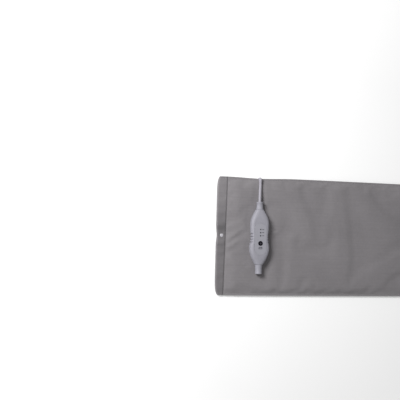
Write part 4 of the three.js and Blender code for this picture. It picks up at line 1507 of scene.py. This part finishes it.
@dataclass
class Snap:
    """The snap on the hem: a domed cap, its socket, and the stud on the lower sheet.

    Each profile gives radius and height in millimetres, from its node's lowest point.
    """

    shop: Workshop
    steps: int = 40
    cap: Pairs = (
        (0.0, 0.0), (2.2, 0.0), (2.2, 1.36), (4.1, 1.36), (4.4, 1.45), (4.5, 1.68), (4.42, 1.95),
        (4.15, 2.22), (3.6, 2.5), (2.8, 2.75), (1.8, 2.91), (0.9, 2.98), (0.0, 3.0),
    )
    socket: Pairs = (
        (0.0, 1.3), (2.3, 1.3), (2.3, 0.25), (2.5, 0.0), (3.1, 0.0), (3.35, 0.2), (3.45, 0.9),
        (3.7, 1.15), (4.3, 1.2), (4.5, 1.4), (4.4, 1.7), (4.2, 1.8), (0.0, 1.8),
    )
    stud: Pairs = (
        (0.0, 0.0), (2.2, 0.0), (2.2, 1.5), (4.3, 1.5), (4.5, 1.65), (4.45, 1.95), (4.2, 2.1),
        (1.55, 2.1), (1.3, 2.25), (1.3, 2.5), (1.7, 2.75), (1.8, 2.95), (1.65, 3.2), (1.1, 3.36),
        (0.0, 3.4),
    )

    def turned_piece(self, name: str, node: str, profile: Pairs, body: Body) -> Piece:
        """Turn one piece of the snap over its node.

        Args:
            name: The piece's name.
            node: The node that it stands for.
            profile: Its profile.
            body: The body that it rides on.

        Returns:
            The finished piece.
        """
        frame = Matrix.Translation((*middle_of(node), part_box(node)[0].z))
        outline = [(radius * MM, height * MM) for radius, height in profile]
        piece = spun(name, outline, self.steps, frame)
        return self.shop.finish_piece(piece, Finish.SNAP, Slot.SNAP, [node], body, Smooth.TURNED)

    def build(self) -> list[Piece]:
        """Build the cap, the socket and the stud.

        Returns:
            The pieces.
        """
        return [
            self.turned_piece("snap_domed_cap", "snap_cap", self.cap, Body.HEM_FLAP),
            self.turned_piece("snap_socket_ring", "snap_socket", self.socket, Body.HEM_FLAP),
            self.turned_piece("snap_stud_post", "snap_stud", self.stud, Body.PAD),
        ]


@dataclass
class Lead:
    """The short lead from the pad's edge to the controller, and the moulded elbow that it leaves by.

    Its points are in millimetres, from the outlet along X, from the pad's long edge along Y and up.
    """

    shop: Workshop
    diameter: float = 7.3 * MM
    rounds: int = 4
    points: tuple[Triple, ...] = (
        (0.0, -13.4, 13.2), (0.0, -18.0, 13.2), (-0.05, -22.0, 13.28), (-0.2, -26.0, 13.55),
        (-0.5, -30.0, 14.05), (-0.85, -34.0, 14.8), (-1.3, -38.0, 15.75), (-1.7, -42.0, 16.8),
        (-2.1, -46.0, 17.85), (-2.5, -50.0, 18.8), (-2.75, -54.0, 19.55), (-2.92, -58.0, 20.05),
        (-3.0, -62.0, 20.25), (-3.0, -67.0, 20.28), (-3.0, -72.0, 20.28), (-3.0, -76.4, 20.28),
    )
    reach: float = 3.0 * MM
    nose: float = 10.9 * MM
    nose_diameter: float = 7.7 * MM
    nose_round: float = 0.35 * MM
    nose_steps: int = 4
    elbow_diameter: float = 8.2 * MM
    bend: float = 4.7 * MM
    bend_steps: int = 24
    heel: float = 2.6 * MM
    heel_steps: int = 10
    foot: float = 1.2 * MM
    foot_width: float = 4.6 * MM
    foot_lift: float = 0.1 * MM
    foot_steps: int = 16

    def route(self) -> list[Vector]:
        """Return the lead's centre line, with smooth steps between its points.

        Returns:
            The centre line in the frame.
        """
        corner = Vector((middle_of("lead_outlet")[0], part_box("cover_front_panel")[1].y, 0.0))
        given = [corner + Vector(point) * MM for point in self.points]
        padded = [2 * given[0] - given[1], *given, 2 * given[-1] - given[-2]]
        line = []
        for a, b, c, d in zip(padded, padded[1:], padded[2:], padded[3:]):
            for t in (step / self.rounds for step in range(self.rounds)):
                curve = 2 * b + (c - a) * t
                curve += (2 * a - 5 * b + 4 * c - d) * t**2
                curve += (3 * b - a - 3 * c + d) * t**3
                line.append(curve / 2)
        return line + [given[-1]]

    def elbow(self) -> Piece:
        """Build the moulded elbow: a round bend over the pad's edge, with a flat foot between the sheets.

        Returns:
            The finished piece.
        """
        low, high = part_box("lead_outlet")
        middle, axis = middle_of("lead_outlet")[0], self.points[0][2] * MM
        radius, rounding = self.elbow_diameter / 2.0, self.nose_round
        upright, nose = high.y - radius, high.y - self.reach - self.nose
        tip = (nose + rounding, self.nose_diameter / 2.0 - rounding)
        rim = arc(tip, rounding, 180.0, 90.0, self.nose_steps)
        turn = arc((upright - self.bend, axis - self.bend), self.bend, 90.0, 0.0, self.bend_steps)
        end = arc((radius - self.heel, low.z + self.heel), self.heel, 0.0, -90.0, self.heel_steps)
        sections = [(y, axis, 2.0 * half) for y, half in rim]
        sections += [(y, z, self.elbow_diameter) for y, z in turn]
        sections += [(upright, z, 2.0 * half) for half, z in end]
        line = [Vector((middle, y, z)) for y, z, _ in sections]
        piece = swept("lead_outlet_elbow", line, [diameter for _, _, diameter in sections])
        half, base = self.foot_width / 2.0, low.z + self.foot_lift
        outline = arc((middle, upright), half, 0.0, 180.0, self.foot_steps)
        outline += [(middle - half, low.y), (middle + half, low.y)]
        cut(piece, prism("outlet_foot", base, base + self.foot, outline), Carve.JOIN)
        nodes = ["lead_outlet"]
        return self.shop.finish_piece(piece, Finish.LEAD, Slot.LEAD, nodes, Body.PAD, Smooth.TURNED)

    def build(self) -> list[Piece]:
        """Returns:
            The pieces.
        """
        line = self.route()
        tube = swept("pad_lead_tube", line, [self.diameter] * len(line))
        self.shop.finish_piece(tube, Finish.LEAD, Slot.LEAD, ["pad_lead"], smooth=Smooth.LEAD)
        elbow = self.elbow()
        neck_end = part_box("upper_neck")[1].y
        elbow_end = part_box("lead_outlet")[1].y - self.reach - self.nose
        start, end = [min(line, key=lambda p: abs(p.y - y)) for y in (elbow_end, neck_end)]
        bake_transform(tube)
        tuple(start)
        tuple(end)
        length = sum((b - a).length for a, b in zip(line, line[1:]))
        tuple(line[0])
        return [tube, elbow]


# The controller


@dataclass
class ControllerCase:
    """The controller's two shells with their flutes, and the screws that close them."""

    shop: Workshop
    length: float = 140.5 * MM
    upper_end_width: float = 19.8 * MM
    upper_lobe_width: float = 48.2 * MM
    waist_width: float = 45.6 * MM
    lower_lobe_width: float = 51.4 * MM
    lower_end_width: float = 22.6 * MM
    upper_lobe_at: float = 38.0 * MM
    waist_at: float = 72.5 * MM
    lower_lobe_at: float = 98.5 * MM
    face_height: float = 12.6 * MM
    face_crown: float = 1.0 * MM
    face_round: float = 0.5 * MM
    rear_depth: float = 10.0 * MM
    upper_end_top: float = 9.7 * MM
    upper_end_rear: float = 9.4 * MM
    lower_end_top: float = 10.2 * MM
    lower_end_rear: float = 9.7 * MM
    end_roundness: float = 2.2
    top_squareness: float = 4.0
    rear_squareness: float = 3.0
    wall: float = 1.8 * MM
    parting_gap: float = 0.3 * MM
    edge_round: float = 0.25 * MM
    edge_run: float = 0.06
    lip: Pairs = ((0.0, 0.8 * MM), (0.12 * MM, 0.3 * MM), (0.4 * MM, 0.08 * MM), (0.8 * MM, 0.0))
    neck_hole: float = 10.6 * MM
    flutes: int = 4
    flute_first_at: float = 63.5 * MM
    flute_pitch: float = 6.9 * MM
    flute_depth: float = 2.5 * MM
    flute_half_width: float = 2.2 * MM
    flute_power: float = 1.3
    flute_fade: Span = (9.4 * MM, 12.4 * MM)
    station_pitch: float = 0.7 * MM
    turn_steps: int = 64
    panel_width: float = 32.0 * MM
    panel_length: float = 82.0 * MM
    panel_at: float = 34.8 * MM
    panel_steps: int = 48
    pocket_depth: float = 0.9 * MM
    hole_depth: float = 4.0 * MM
    tool_reach: float = 2.0 * MM
    led_hole: float = 3.6 * MM
    led_hole_sides: int = 32
    led_at: tuple[float, ...] = (51.4 * MM, 59.3 * MM, 67.2 * MM)
    button_hole: float = 12.1 * MM
    button_hole_sides: int = 64
    button_at: float = 86.6 * MM
    screw_count: int = 4
    screw_sides: int = 32
    screw_rod: float = 1.2 * MM
    screw_tip: float = 0.36 * MM
    screw_head: Pairs = (
        (0.0, 0.0), (0.6, 0.0), (0.85, 0.12 * MM), (0.97, 0.4 * MM),
        (1.0, 0.7 * MM), (1.0, 1.3 * MM), (0.97, 1.4 * MM),
    )
    recess_arm: float = 1.45 * MM
    recess_half: float = 0.35 * MM
    recess_depth: float = 0.8 * MM
    screw_seat: float = 7.0 * MM
    well_diameter: float = 5.8 * MM
    well_length: float = 12.0 * MM
    boss_diameter: float = 7.2 * MM
    boss_depth: float = 8.4 * MM
    boss_gap: float = 0.5 * MM
    origin: Vector = field(init=False)

    def __post_init__(self) -> None:
        """Find the parting line's upper end in the frame."""
        low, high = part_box("controller_front_shell")
        middle = middle_of("controller_front_shell")[0]
        self.origin = Vector((middle, high.y, low.z - self.parting_gap / 2.0))

    # Shape of the case at a place s from its upper seam to its lower one

    def shoulder(self, s: float) -> float:
        """Return 0 at the ends of the case and 1 between its lobes."""
        from_lower = (self.length - s) / (self.length - self.lower_lobe_at)
        return math.sin(math.pi / 2.0 * clamp(min(s / self.upper_lobe_at, from_lower), 0.0, 1.0))

    def half_width(self, s: float) -> float:
        """Return half the case's width.

        Args:
            s: Place along the case.

        Returns:
            Half the width there.
        """
        if s < self.upper_lobe_at:
            width = lerp(self.upper_end_width, self.upper_lobe_width, self.shoulder(s))
        elif s < self.waist_at:
            share = ease(self.upper_lobe_at, self.waist_at, s)
            width = lerp(self.upper_lobe_width, self.waist_width, share)
        elif s < self.lower_lobe_at:
            share = ease(self.waist_at, self.lower_lobe_at, s)
            width = lerp(self.waist_width, self.lower_lobe_width, share)
        else:
            width = lerp(self.lower_end_width, self.lower_lobe_width, self.shoulder(s))
        return width / 2.0

    def flute(self, s: float, height: float) -> float:
        """Return how deep the grip flutes go in on the case's side.

        Args:
            s: Place along the case.
            height: Height from the parting line.

        Returns:
            The depth.
        """
        deep = 0.0
        for i in range(self.flutes):
            away = abs(s - self.flute_first_at - i * self.flute_pitch) / self.flute_half_width
            if away < 1.0:
                deep += self.flute_depth * math.cos(math.pi / 2.0 * away) ** self.flute_power
        return deep * (1.0 - smoothstep(*self.flute_fade, abs(height)))

    def point(self, s: float, inset: float, turn: float, front: bool) -> Vector:
        """Return a point of the case's outside.

        Args:
            s: Place along the case.
            inset: How far in from the section's outline.
            turn: Angle across the shell, from 0 on the right to pi on the left.
            front: Whether it is on the front shell.

        Returns:
            The point in the frame.
        """
        full = self.shoulder(s)
        upper = s < self.waist_at
        if front:
            end = self.upper_end_top if upper else self.lower_end_top
            level, square = self.face_height + self.face_crown, self.top_squareness
        else:
            end = self.upper_end_rear if upper else self.lower_end_rear
            level, square = self.rear_depth, self.rear_squareness
        power = lerp(self.end_roundness, square, full)
        across, up = math.cos(turn), math.sin(turn)
        reach = (abs(across) ** power + abs(up) ** power) ** (-1.0 / power)
        rim = self.edge_round * (1.0 - smoothstep(0.0, self.edge_run, up))
        z = (lerp(end, level, full) - inset) * up * reach
        if front:
            z = soft_min(z, self.face_height, self.face_round)
        side = (self.half_width(s) - inset) * across * reach
        side -= math.copysign(self.flute(s, z) + rim, across)
        z = max(z, self.parting_gap / 2.0)
        return self.origin + Vector((side, -s, z if front else -z))

    def stations(self) -> list[Span]:
        """Return the shell's sections, from the hole at its upper end to the one at its lower end.

        Returns:
            Places along the case, each with its inset.
        """
        first, last = self.lip[-1][0], self.length - self.lip[-1][0]
        count = round((last - first) / self.station_pitch)
        middle = [(lerp(first, last, i / count), 0.0) for i in range(1, count)]
        lower = [(self.length - s, inset) for s, inset in reversed(self.lip)]
        upper_hole, lower_hole = [
            width / 2.0 - self.neck_hole / 2.0 for width in (self.upper_end_width, self.lower_end_width)
        ]
        return [(0.0, upper_hole), *self.lip, *middle, *lower, (self.length, lower_hole)]

    def shell(self, name: str, front: bool) -> Piece:
        """Build one half of the case as a hollow shell.

        Args:
            name: The piece's name.
            front: Whether it is the front half.

        Returns:
            The closed shell, before its openings are cut.
        """
        stations = self.stations()

        def place(i: int, j: int) -> Vector:
            """Return the point at a section and a step round it."""
            return self.point(*stations[i], math.pi * j / self.turn_steps, front)

        def flat(i: int, j: int) -> Span:
            """Return the shell's flat coordinates there."""
            return stations[i][0], j * MM

        mesh = sheet_mesh(len(stations) - 1, self.turn_steps, place, flat)
        top = max(mesh.faces, key=lambda face: abs(face.calc_center_median().z - self.origin.z))
        if (top.normal.z > 0.0) != front:
            bmesh.ops.reverse_faces(mesh, faces=mesh.faces)
        piece = to_object(name, mesh)
        give_wall(piece, self.wall)
        bake_modifiers(piece)
        return piece

    def stadium(self, margin: float) -> Outline:
        """Return the face's outline.

        Args:
            margin: How far inside its pocket.

        Returns:
            The outline, once round.
        """
        radius, x = self.panel_width / 2.0, self.origin.x
        upper = self.origin.y - self.panel_at - radius
        lower = self.origin.y - self.panel_at - self.panel_length + radius
        outline = arc((x, upper), radius - margin, 0.0, 180.0, self.panel_steps)
        return outline + arc((x, lower), radius - margin, 180.0, 360.0, self.panel_steps)

    def face_holes(self, low: float, high: float) -> Piece:
        """Build a cutting tool for the lamps' and the button's holes.

        Args:
            low: Its lowest height.
            high: Its highest height.

        Returns:
            The tool.
        """
        mesh = bmesh.new()
        holes = [(s, self.led_hole, self.led_hole_sides) for s in self.led_at]
        for s, diameter, sides in [*holes, (self.button_at, self.button_hole, self.button_hole_sides)]:
            foot = Vector((self.origin.x, self.origin.y - s, low))
            add_cylinder(mesh, diameter, foot, high - low, sides)
        return to_object("face_holes", mesh)

    def front_shell(self) -> Piece:
        """Build the front shell with the face's pocket and holes.

        Returns:
            The finished piece.
        """
        piece = self.shell("case_front_shell", True)
        face = self.origin.z + self.face_height
        above = face + self.tool_reach
        cut(piece, prism("face_pocket", face - self.pocket_depth, above, self.stadium(0.0)))
        cut(piece, self.face_holes(face - self.hole_depth, above))
        nodes = ["controller_front_shell"]
        return self.shop.finish_piece(piece, Finish.CASE, Slot.WHITE, nodes, Body.CONTROLLER, Smooth.CASE)

    def rear_shell(self) -> Piece:
        """Build the rear shell with the screws' bosses and wells.

        Returns:
            The finished piece.
        """
        piece = self.shell("case_rear_shell", False)
        bosses, wells = bmesh.new(), bmesh.new()
        seat, height = self.origin.z - self.screw_seat, self.boss_depth - self.boss_gap
        for node in self.screw_nodes():
            foot = Vector((*middle_of(node), self.origin.z - self.boss_depth))
            add_cylinder(bosses, self.boss_diameter, foot, height, self.screw_sides)
            mouth = Vector((*middle_of(node), seat - self.well_length))
            add_cylinder(wells, self.well_diameter, mouth, self.well_length, self.screw_sides)
        cut(piece, to_object("screw_bosses", bosses), Carve.JOIN)
        cut(piece, to_object("screw_wells", wells))
        nodes = ["controller_rear_shell"]
        return self.shop.finish_piece(piece, Finish.CASE, Slot.WHITE, nodes, Body.CONTROLLER, Smooth.CASE)

    def screw_nodes(self) -> list[str]:
        """Return the names of the screws' nodes."""
        return [f"case_screw_{number}" for number in range(1, self.screw_count + 1)]

    def screw(self, node: str) -> Piece:
        """Build one screw with a crossed recess.

        Args:
            node: The node that it stands for.

        Returns:
            The finished piece.
        """
        low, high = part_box(node)
        middle = Vector((*middle_of(node), 0.0))
        radius, rod = (high.x - low.x) / 2.0, self.screw_rod
        profile = [(radius * share, low.z + rise) for share, rise in self.screw_head]
        profile += [(rod, profile[-1][1]), (rod, high.z - rod), (self.screw_tip, high.z), (0.0, high.z)]
        piece = spun(f"{node}_head", profile, self.screw_sides, Matrix.Translation(middle))
        cut(piece, self.cross_tool(middle, low.z))
        return self.shop.finish_piece(
            piece, Finish.STEEL, Slot.STEEL, [node], Body.CONTROLLER, Smooth.PLATE
        )

    def cross_tool(self, middle: Vector, bottom: float) -> Piece:
        """Build the tool for a screw's crossed recess.

        Args:
            middle: The screw's axis.
            bottom: Height of the head's outer face.

        Returns:
            The tool.
        """
        arm, half = self.recess_arm, self.recess_half
        outline, corner = [], [(half, half), (half, arm), (-half, arm)]
        for _ in range(4):
            outline += [(middle.x + x, middle.y + y) for x, y in corner]
            corner = [(-y, x) for x, y in corner]
        return prism("screw_recess", bottom - self.tool_reach, bottom + self.recess_depth, outline)

    def build(self) -> list[Piece]:
        """Build the shells and the screws."""
        return [self.front_shell(), self.rear_shell(), *(self.screw(node) for node in self.screw_nodes())]


@dataclass(frozen=True)
class NeckSize:
    """One neck's length and diameter, its diameter at the case, and the length of its flare."""

    length: float
    diameter: float
    seam: float
    flare: float


@dataclass
class Necks:
    """The moulded necks at the case's two ends."""

    shop: Workshop
    case: ControllerCase
    upper: NeckSize = NeckSize(19.2 * MM, 16.0 * MM, 18.6 * MM, 9.0 * MM)
    lower: NeckSize = NeckSize(24.0 * MM, 16.8 * MM, 19.2 * MM, 15.0 * MM)
    bore: float = 7.6 * MM
    hub: float = 10.0 * MM
    flange: float = 13.0 * MM
    flange_depth: float = 2.0 * MM
    end_wall: float = 3.0 * MM
    gap: float = 0.3 * MM
    seam_edge: Pairs = ((-0.3 * MM, 0.0), (-0.05 * MM, 0.12 * MM))
    flare_from: float = 0.35 * MM
    flare_steps: int = 8
    rim: float = 0.35 * MM
    rim_length: float = 3.2 * MM
    rim_rise: Pairs = ((0.0, -0.5 * MM), (0.6, -0.2 * MM), (1.0, 0.2 * MM))
    end_round: float = 0.8 * MM
    end_steps: int = 6
    mouth_edge: Pairs = ((0.5 * MM, 0.0), (0.12 * MM, -0.14 * MM), (0.0, -0.5 * MM))
    steps: int = 56

    def profile(self, size: NeckSize) -> Outline:
        """Return a neck's closed profile, with heights out from the case's end face.

        Args:
            size: The neck's sizes.

        Returns:
            The profile, once round.
        """
        face = -self.end_wall - self.gap
        bore, radius, seam = self.bore / 2.0, size.diameter / 2.0, size.seam / 2.0
        outline = [(bore, face - self.flange_depth), (self.flange / 2.0, face - self.flange_depth)]
        outline += [(self.flange / 2.0, face), (self.hub / 2.0, face), (self.hub / 2.0, self.gap)]
        outline += [(seam + aside, self.gap + out) for aside, out in self.seam_edge]
        for t in (i / self.flare_steps for i in range(self.flare_steps + 1)):
            out = lerp(self.gap + self.flare_from, size.flare, t)
            outline.append((lerp(seam, radius, 1.0 - (1.0 - t) ** 2), out))
        rim_from = size.length - self.rim_length
        outline += [(radius + share * self.rim, rim_from + out) for share, out in self.rim_rise]
        corner = (radius + self.rim - self.end_round, size.length - self.end_round)
        outline += arc(corner, self.end_round, 0.0, 90.0, self.end_steps)
        outline += [(bore + aside, size.length + out) for aside, out in self.mouth_edge]
        return outline + [outline[0]]

    def neck(self, node: str, size: NeckSize, end: float, outward: float) -> Piece:
        """Build one neck.

        Args:
            node: The node that it stands for.
            size: Its sizes.
            end: Place of the case's end that it stands on.
            outward: 1 where it points along +Y, -1 along -Y.

        Returns:
            The finished piece.
        """
        place = Matrix.Translation(self.case.origin - Vector((0.0, end, 0.0)))
        frame = place @ Matrix.Rotation(-outward * math.pi / 2.0, 4, "X")
        piece = spun(f"case_{node}", self.profile(size), self.steps, frame)
        return self.shop.finish_piece(
            piece, Finish.CASE, Slot.WHITE, [node], Body.CONTROLLER, Smooth.TURNED
        )

    def build(self) -> list[Piece]:
        """Build both necks."""
        upper = self.neck("upper_neck", self.upper, 0.0, 1.0)
        return [upper, self.neck("lower_neck", self.lower, self.case.length, -1.0)]


@dataclass
class Face:
    """The controller's face: its panel, lamps, button and printed words."""

    shop: Workshop
    case: ControllerCase
    panel: float = 0.6 * MM
    panel_gap: float = 0.3 * MM
    panel_round: float = 0.14 * MM
    panel_round_steps: int = 2
    panel_round_from: float = 60.0
    flat_normal: float = 0.999
    lamps: tuple[str, ...] = ("led_high", "led_medium", "led_low")
    lamp_labels: tuple[str, ...] = ("HIGH", "MED", "LOW")
    lens: float = 1.5 * MM
    lens_steps: int = 28
    collar: float = 1.0 * MM
    dome: float = 0.5 * MM
    dome_steps: int = 6
    label_offset: float = 6.4 * MM
    label_size: float = 2.4 * MM
    button_words: tuple[str, ...] = ("POWER", "ON/OFF")
    words_at: tuple[float, ...] = (96.8 * MM, 100.3 * MM)
    words_size: float = 2.9 * MM
    ink: float = 0.015 * MM
    stroke: float = 0.12 * MM
    letter_steps: int = 3
    cap: float = 5.75 * MM
    cap_round: float = 0.7 * MM
    cap_round_steps: int = 6
    stem: float = 2.5 * MM
    seat: float = 1.4 * MM
    flange: float = 0.8 * MM
    dish: float = 0.28 * MM
    dish_rounds: tuple[float, ...] = (4.9 * MM, 4.4 * MM, 3.6 * MM, 2.6 * MM, 1.4 * MM, 0.0)
    steps: int = 48
    sign_ring: Span = (1.3 * MM, 1.75 * MM)
    sign_steps: int = 32
    sign_gap: float = 32.0
    sign_bar: Span = (0.4 * MM, 2.1 * MM)
    sign_bar_half: float = 0.22 * MM
    sign_heights: Span = (-0.05 * MM, 0.06 * MM)

    def top(self) -> float:
        """Return the height of the face."""
        return self.case.origin.z + self.case.face_height

    def spot(self, s: float, height: float, aside: float = 0.0) -> Vector:
        """Return a point over the face at a place along the case."""
        return Vector((self.case.origin.x + aside, self.case.origin.y - s, height))

    def plate(self) -> Piece:
        """Build the face's panel with its holes.

        Returns:
            The finished piece.
        """
        top, reach = self.top(), self.case.tool_reach
        piece = prism("face_plate", top - self.panel, top, self.case.stadium(self.panel_gap))
        cut(piece, self.case.face_holes(top - reach, top + reach))
        round_edges(piece, self.panel_round, self.panel_round_steps, self.panel_round_from)
        nodes = ["face_panel"]
        self.shop.finish_piece(piece, Finish.FACE_FILM, Slot.PANEL, nodes, Body.CONTROLLER, Smooth.PLATE)
        for polygon in piece.data.polygons:
            polygon.use_smooth = abs(polygon.normal.z) < self.flat_normal
        return piece

    def lamp(self, node: str) -> Piece:
        """Build one lamp.

        Args:
            node: The node that it stands for.

        Returns:
            The finished piece.
        """
        low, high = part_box(node)
        collar, shelf = (high.x - low.x) / 2.0, low.z + self.collar
        profile = [(0.0, low.z), (collar, low.z), (collar, shelf), (self.lens, shelf)]
        foot = high.z - self.dome
        for angle in (math.pi / 2.0 * i / self.dome_steps for i in range(self.dome_steps + 1)):
            profile.append((self.lens * math.cos(angle), foot + self.dome * math.sin(angle)))
        frame = Matrix.Translation((*middle_of(node), 0.0))
        piece = spun(f"{node}_lens", profile, self.lens_steps, frame)
        return self.shop.finish_piece(piece, Finish.LAMP, Slot.LAMP, [node], Body.CONTROLLER, Smooth.TURNED)

    def button(self) -> Piece:
        """Build the button, dished on top, with its stem and flange.

        Returns:
            The finished piece.
        """
        low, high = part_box("power_button")
        edge, rounding = (high.x - low.x) / 2.0, self.cap_round
        seat = low.z + self.seat
        shelf = seat - self.flange
        profile = [(0.0, low.z), (self.stem, low.z), (self.stem, shelf), (edge, shelf), (edge, seat)]
        corner = (self.cap - rounding, high.z - rounding)
        profile += [(self.cap, seat), *arc(corner, rounding, 0.0, 90.0, self.cap_round_steps)]
        rim = self.dish_rounds[0]
        profile += [(r, high.z - self.dish * (1.0 - (r / rim) ** 2)) for r in self.dish_rounds]
        frame = Matrix.Translation((*middle_of("power_button"), 0.0))
        piece = spun("power_button_cap", profile, self.steps, frame)
        nodes = ["power_button"]
        return self.shop.finish_piece(piece, Finish.BUTTON, Slot.BLACK, nodes, Body.BUTTON, Smooth.TURNED)

    def sign(self) -> Piece:
        """Build the sign on the button: an open ring with a bar in its gap.

        Returns:
            The finished piece.
        """
        x, y = middle_of("power_button")
        start, end = 90.0 + self.sign_gap, 450.0 - self.sign_gap
        inner, outer = [arc((x, y), radius, start, end, self.sign_steps) for radius in self.sign_ring]
        left, right = x - self.sign_bar_half, x + self.sign_bar_half
        foot, top = [y + up for up in self.sign_bar]
        bar = [(left, foot), (right, foot), (right, top), (left, top)]
        low, high = [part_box("power_button")[1].z - self.dish + height for height in self.sign_heights]
        piece = prism("power_button_sign", low, high, outer + inner[::-1], bar)
        return self.shop.finish_piece(piece, Finish.MARK, Slot.BLACK, body=Body.BUTTON)

    def words(self) -> Piece:
        """Print the lamps' and the button's words on the panel.

        Returns:
            The finished piece.
        """
        base = self.top() - self.ink
        mesh = bmesh.new()
        for label, s in zip(self.lamp_labels, self.case.led_at):
            self.print_word(mesh, label, self.label_size, self.spot(s, base, self.label_offset))
        for label, s in zip(self.button_words, self.words_at):
            self.print_word(mesh, label, self.words_size, self.spot(s, base))
        folds = [edge.link_faces for edge in mesh.edges if edge.is_manifold and not edge.is_contiguous]
        slivers = {min(faces, key=lambda face: face.calc_area()) for faces in folds}
        bmesh.ops.delete(mesh, geom=list(slivers), context="FACES")
        raise_faces(mesh, 2.0 * self.ink)
        piece = to_object("face_words", mesh)
        return self.shop.finish_piece(piece, Finish.INK, Slot.PANEL, body=Body.CONTROLLER)

    def print_word(self, mesh: bmesh.types.BMesh, word: str, size: float, middle: Vector) -> None:
        """Add one word to the print.

        Args:
            mesh: The bmesh that takes it.
            word: The word.
            size: Its size.
            middle: Where its middle goes.
        """
        curve = bpy.data.curves.new("word", "FONT")
        curve.body = word
        curve.size = size
        curve.align_x = curve.align_y = "CENTER"
        curve.fill_mode = "FRONT"
        curve.offset = self.stroke
        curve.resolution_u = self.letter_steps
        draw(mesh, curve, Matrix.Translation(middle))

    def build(self) -> list[Piece]:
        """Build the panel, the lamps, the button with its sign, and the print."""
        lit = [self.plate(), *(self.lamp(node) for node in self.lamps)]
        return [*lit, self.button(), self.sign(), self.words()]


@dataclass
class Insides:
    """The pieces inside the pad and the case, which keep their solids and get finishes."""

    shop: Workshop
    finishes: dict[Finish, tuple[str, ...]] = field(
        default_factory=lambda: {
            Finish.LAYER: ("inner_pad_upper_layer", "inner_pad_lower_layer"),
            Finish.WIRE: ("heating_wire",),
            Finish.COMPONENT: (
                "heat_sensor_left",
                "heat_sensor_right",
                "switch_plunger",
                "tact_switch",
                "microcontroller",
                "triac",
            ),
            Finish.LEAD: ("junction_block",),
            Finish.SNAP: ("snap_back_ring",),
            Finish.BOARD: ("circuit_board",),
            Finish.RED: ("film_capacitor", "lead_wire_live"),
            Finish.STEEL: ("fuse",),
            Finish.BLACK_CORE: ("lead_wire_neutral",),
        }
    )

    def build(self) -> list[Piece]:
        """Give each inner node its finish.

        Returns:
            The nodes.
        """
        dressed = []
        for finish, names in self.finishes.items():
            for name in names:
                dressed.append(self.shop.frame["nodes"][name])
                self.shop.palette.dress_node(dressed[-1], finish)
        return dressed


@dataclass
class Studio:
    """The camera, the soft light and the pale floor."""

    camera_place: Triple = (-0.7119, -0.0015, 1.580)
    camera_view: Triple = (0.2241, 0.0551, -0.973)
    camera_up: Triple = (-0.0379, 0.9981, 0.0478)
    clip_start: float = 0.01
    focal_pixels: float = 638.55
    image_pixels: float = 400.0
    sensor: float = 36.0
    ambient: float = 0.30
    key_place: Triple = (-1.35, 0.72, 1.2)
    key_aim: Triple = (-0.2, 0.0, 0.0)
    key_size: float = 0.7
    key_power: float = 32.0
    white: tuple[float, ...] = (1.0, 1.0, 1.0, 1.0)
    floor_size: float = 6.0
    floor_drop: float = 0.3 * MM
    floor_lift: Span = (0.22, 0.66)
    floor_lift_reach: Span = (0.45, 2.4)
    floor_paper: MouldedPlastic = MouldedPlastic(
        "floor_paper",
        color=(0.93, 0.93, 0.93),
        roughness=(0.8, 0.95),
        variation=0.01,
        flow_scale=3.0,
        grain_scale=400.0,
        grain_depth=0.01 * MM,
        specular=0.1,
    )

    def camera(self) -> None:
        """Stand the camera where the photograph was taken from."""
        data = bpy.data.cameras.new("photo_camera")
        data.sensor_fit = "HORIZONTAL"
        data.sensor_width = self.sensor
        data.lens = self.focal_pixels / self.image_pixels * self.sensor
        data.clip_start = self.clip_start
        camera = link_object("photo_camera", data)
        forward = Vector(self.camera_view).normalized()
        right = forward.cross(Vector(self.camera_up)).normalized()
        axes = Matrix((right, right.cross(forward), -forward)).transposed().to_4x4()
        camera.matrix_world = Matrix.Translation(self.camera_place) @ axes
        bpy.context.scene.camera = camera

    def light(self) -> None:
        """Hang one large soft lamp on the left and set the sky's even light."""
        data = bpy.data.lights.new("soft_key", "AREA")
        data.shape = "DISK"
        data.size = self.key_size
        data.energy = self.key_power
        key = link_object("soft_key", data)
        key.location = self.key_place
        aim = Vector(self.key_aim) - Vector(self.key_place)
        key.rotation_euler = aim.to_track_quat("-Z", "Y").to_euler()
        world = bpy.data.worlds.new("studio_sky")
        bpy.context.scene.world = world
        world.use_nodes = True
        graph = NodeGraph(world.node_tree)
        sky = {"Color": self.white, "Strength": graph.seen(self.ambient, 1.0)}
        graph.feed(world.node_tree.nodes["Background"], sky)

    def floor(self) -> None:
        """Lay the plain floor, pale to the eye without more light on the object."""
        mesh = bmesh.new()
        bmesh.ops.create_grid(mesh, x_segments=1, y_segments=1, size=self.floor_size)
        bmesh.ops.translate(mesh, verts=mesh.verts, vec=(0.0, 0.0, -self.floor_drop))
        floor = to_object("floor", mesh)
        paper = self.floor_paper.material()
        graph = NodeGraph(paper.node_tree)
        away = graph.node("ShaderNodeVectorMath", {0: graph.place()}, operation="LENGTH").outputs["Value"]
        lift = graph.spread(away, self.floor_lift, self.floor_lift_reach)
        glow = graph.math("MULTIPLY", graph.seen(0.0, 1.0), lift)
        shader = paper.node_tree.nodes["Principled BSDF"]
        graph.feed(shader, {"Emission Color": self.white, "Emission Strength": glow})
        floor.data.materials.append(paper)

    def build(self) -> None:
        """Set up the view and the light."""
        bpy.context.scene.view_settings.view_transform = "Standard"
        self.camera()
        self.light()
        self.floor()


def main() -> None:
    """Build the object's pieces in order."""
    logging.basicConfig(level=logging.INFO, format="%(asctime)s %(name)s: %(message)s")
    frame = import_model()
    Studio().build()
    shop = Workshop(frame, Palette())
    case = ControllerCase(shop)
    controller = (case, Necks(shop, case), Face(shop, case))
    for assembly in (Lead(shop), Cover(shop), Snap(shop), *controller, Insides(shop)):
        for piece in assembly.build():
            LOG.info("%s: %s", type(assembly).__name__, piece.name)


if __name__ == "__main__":
    main()
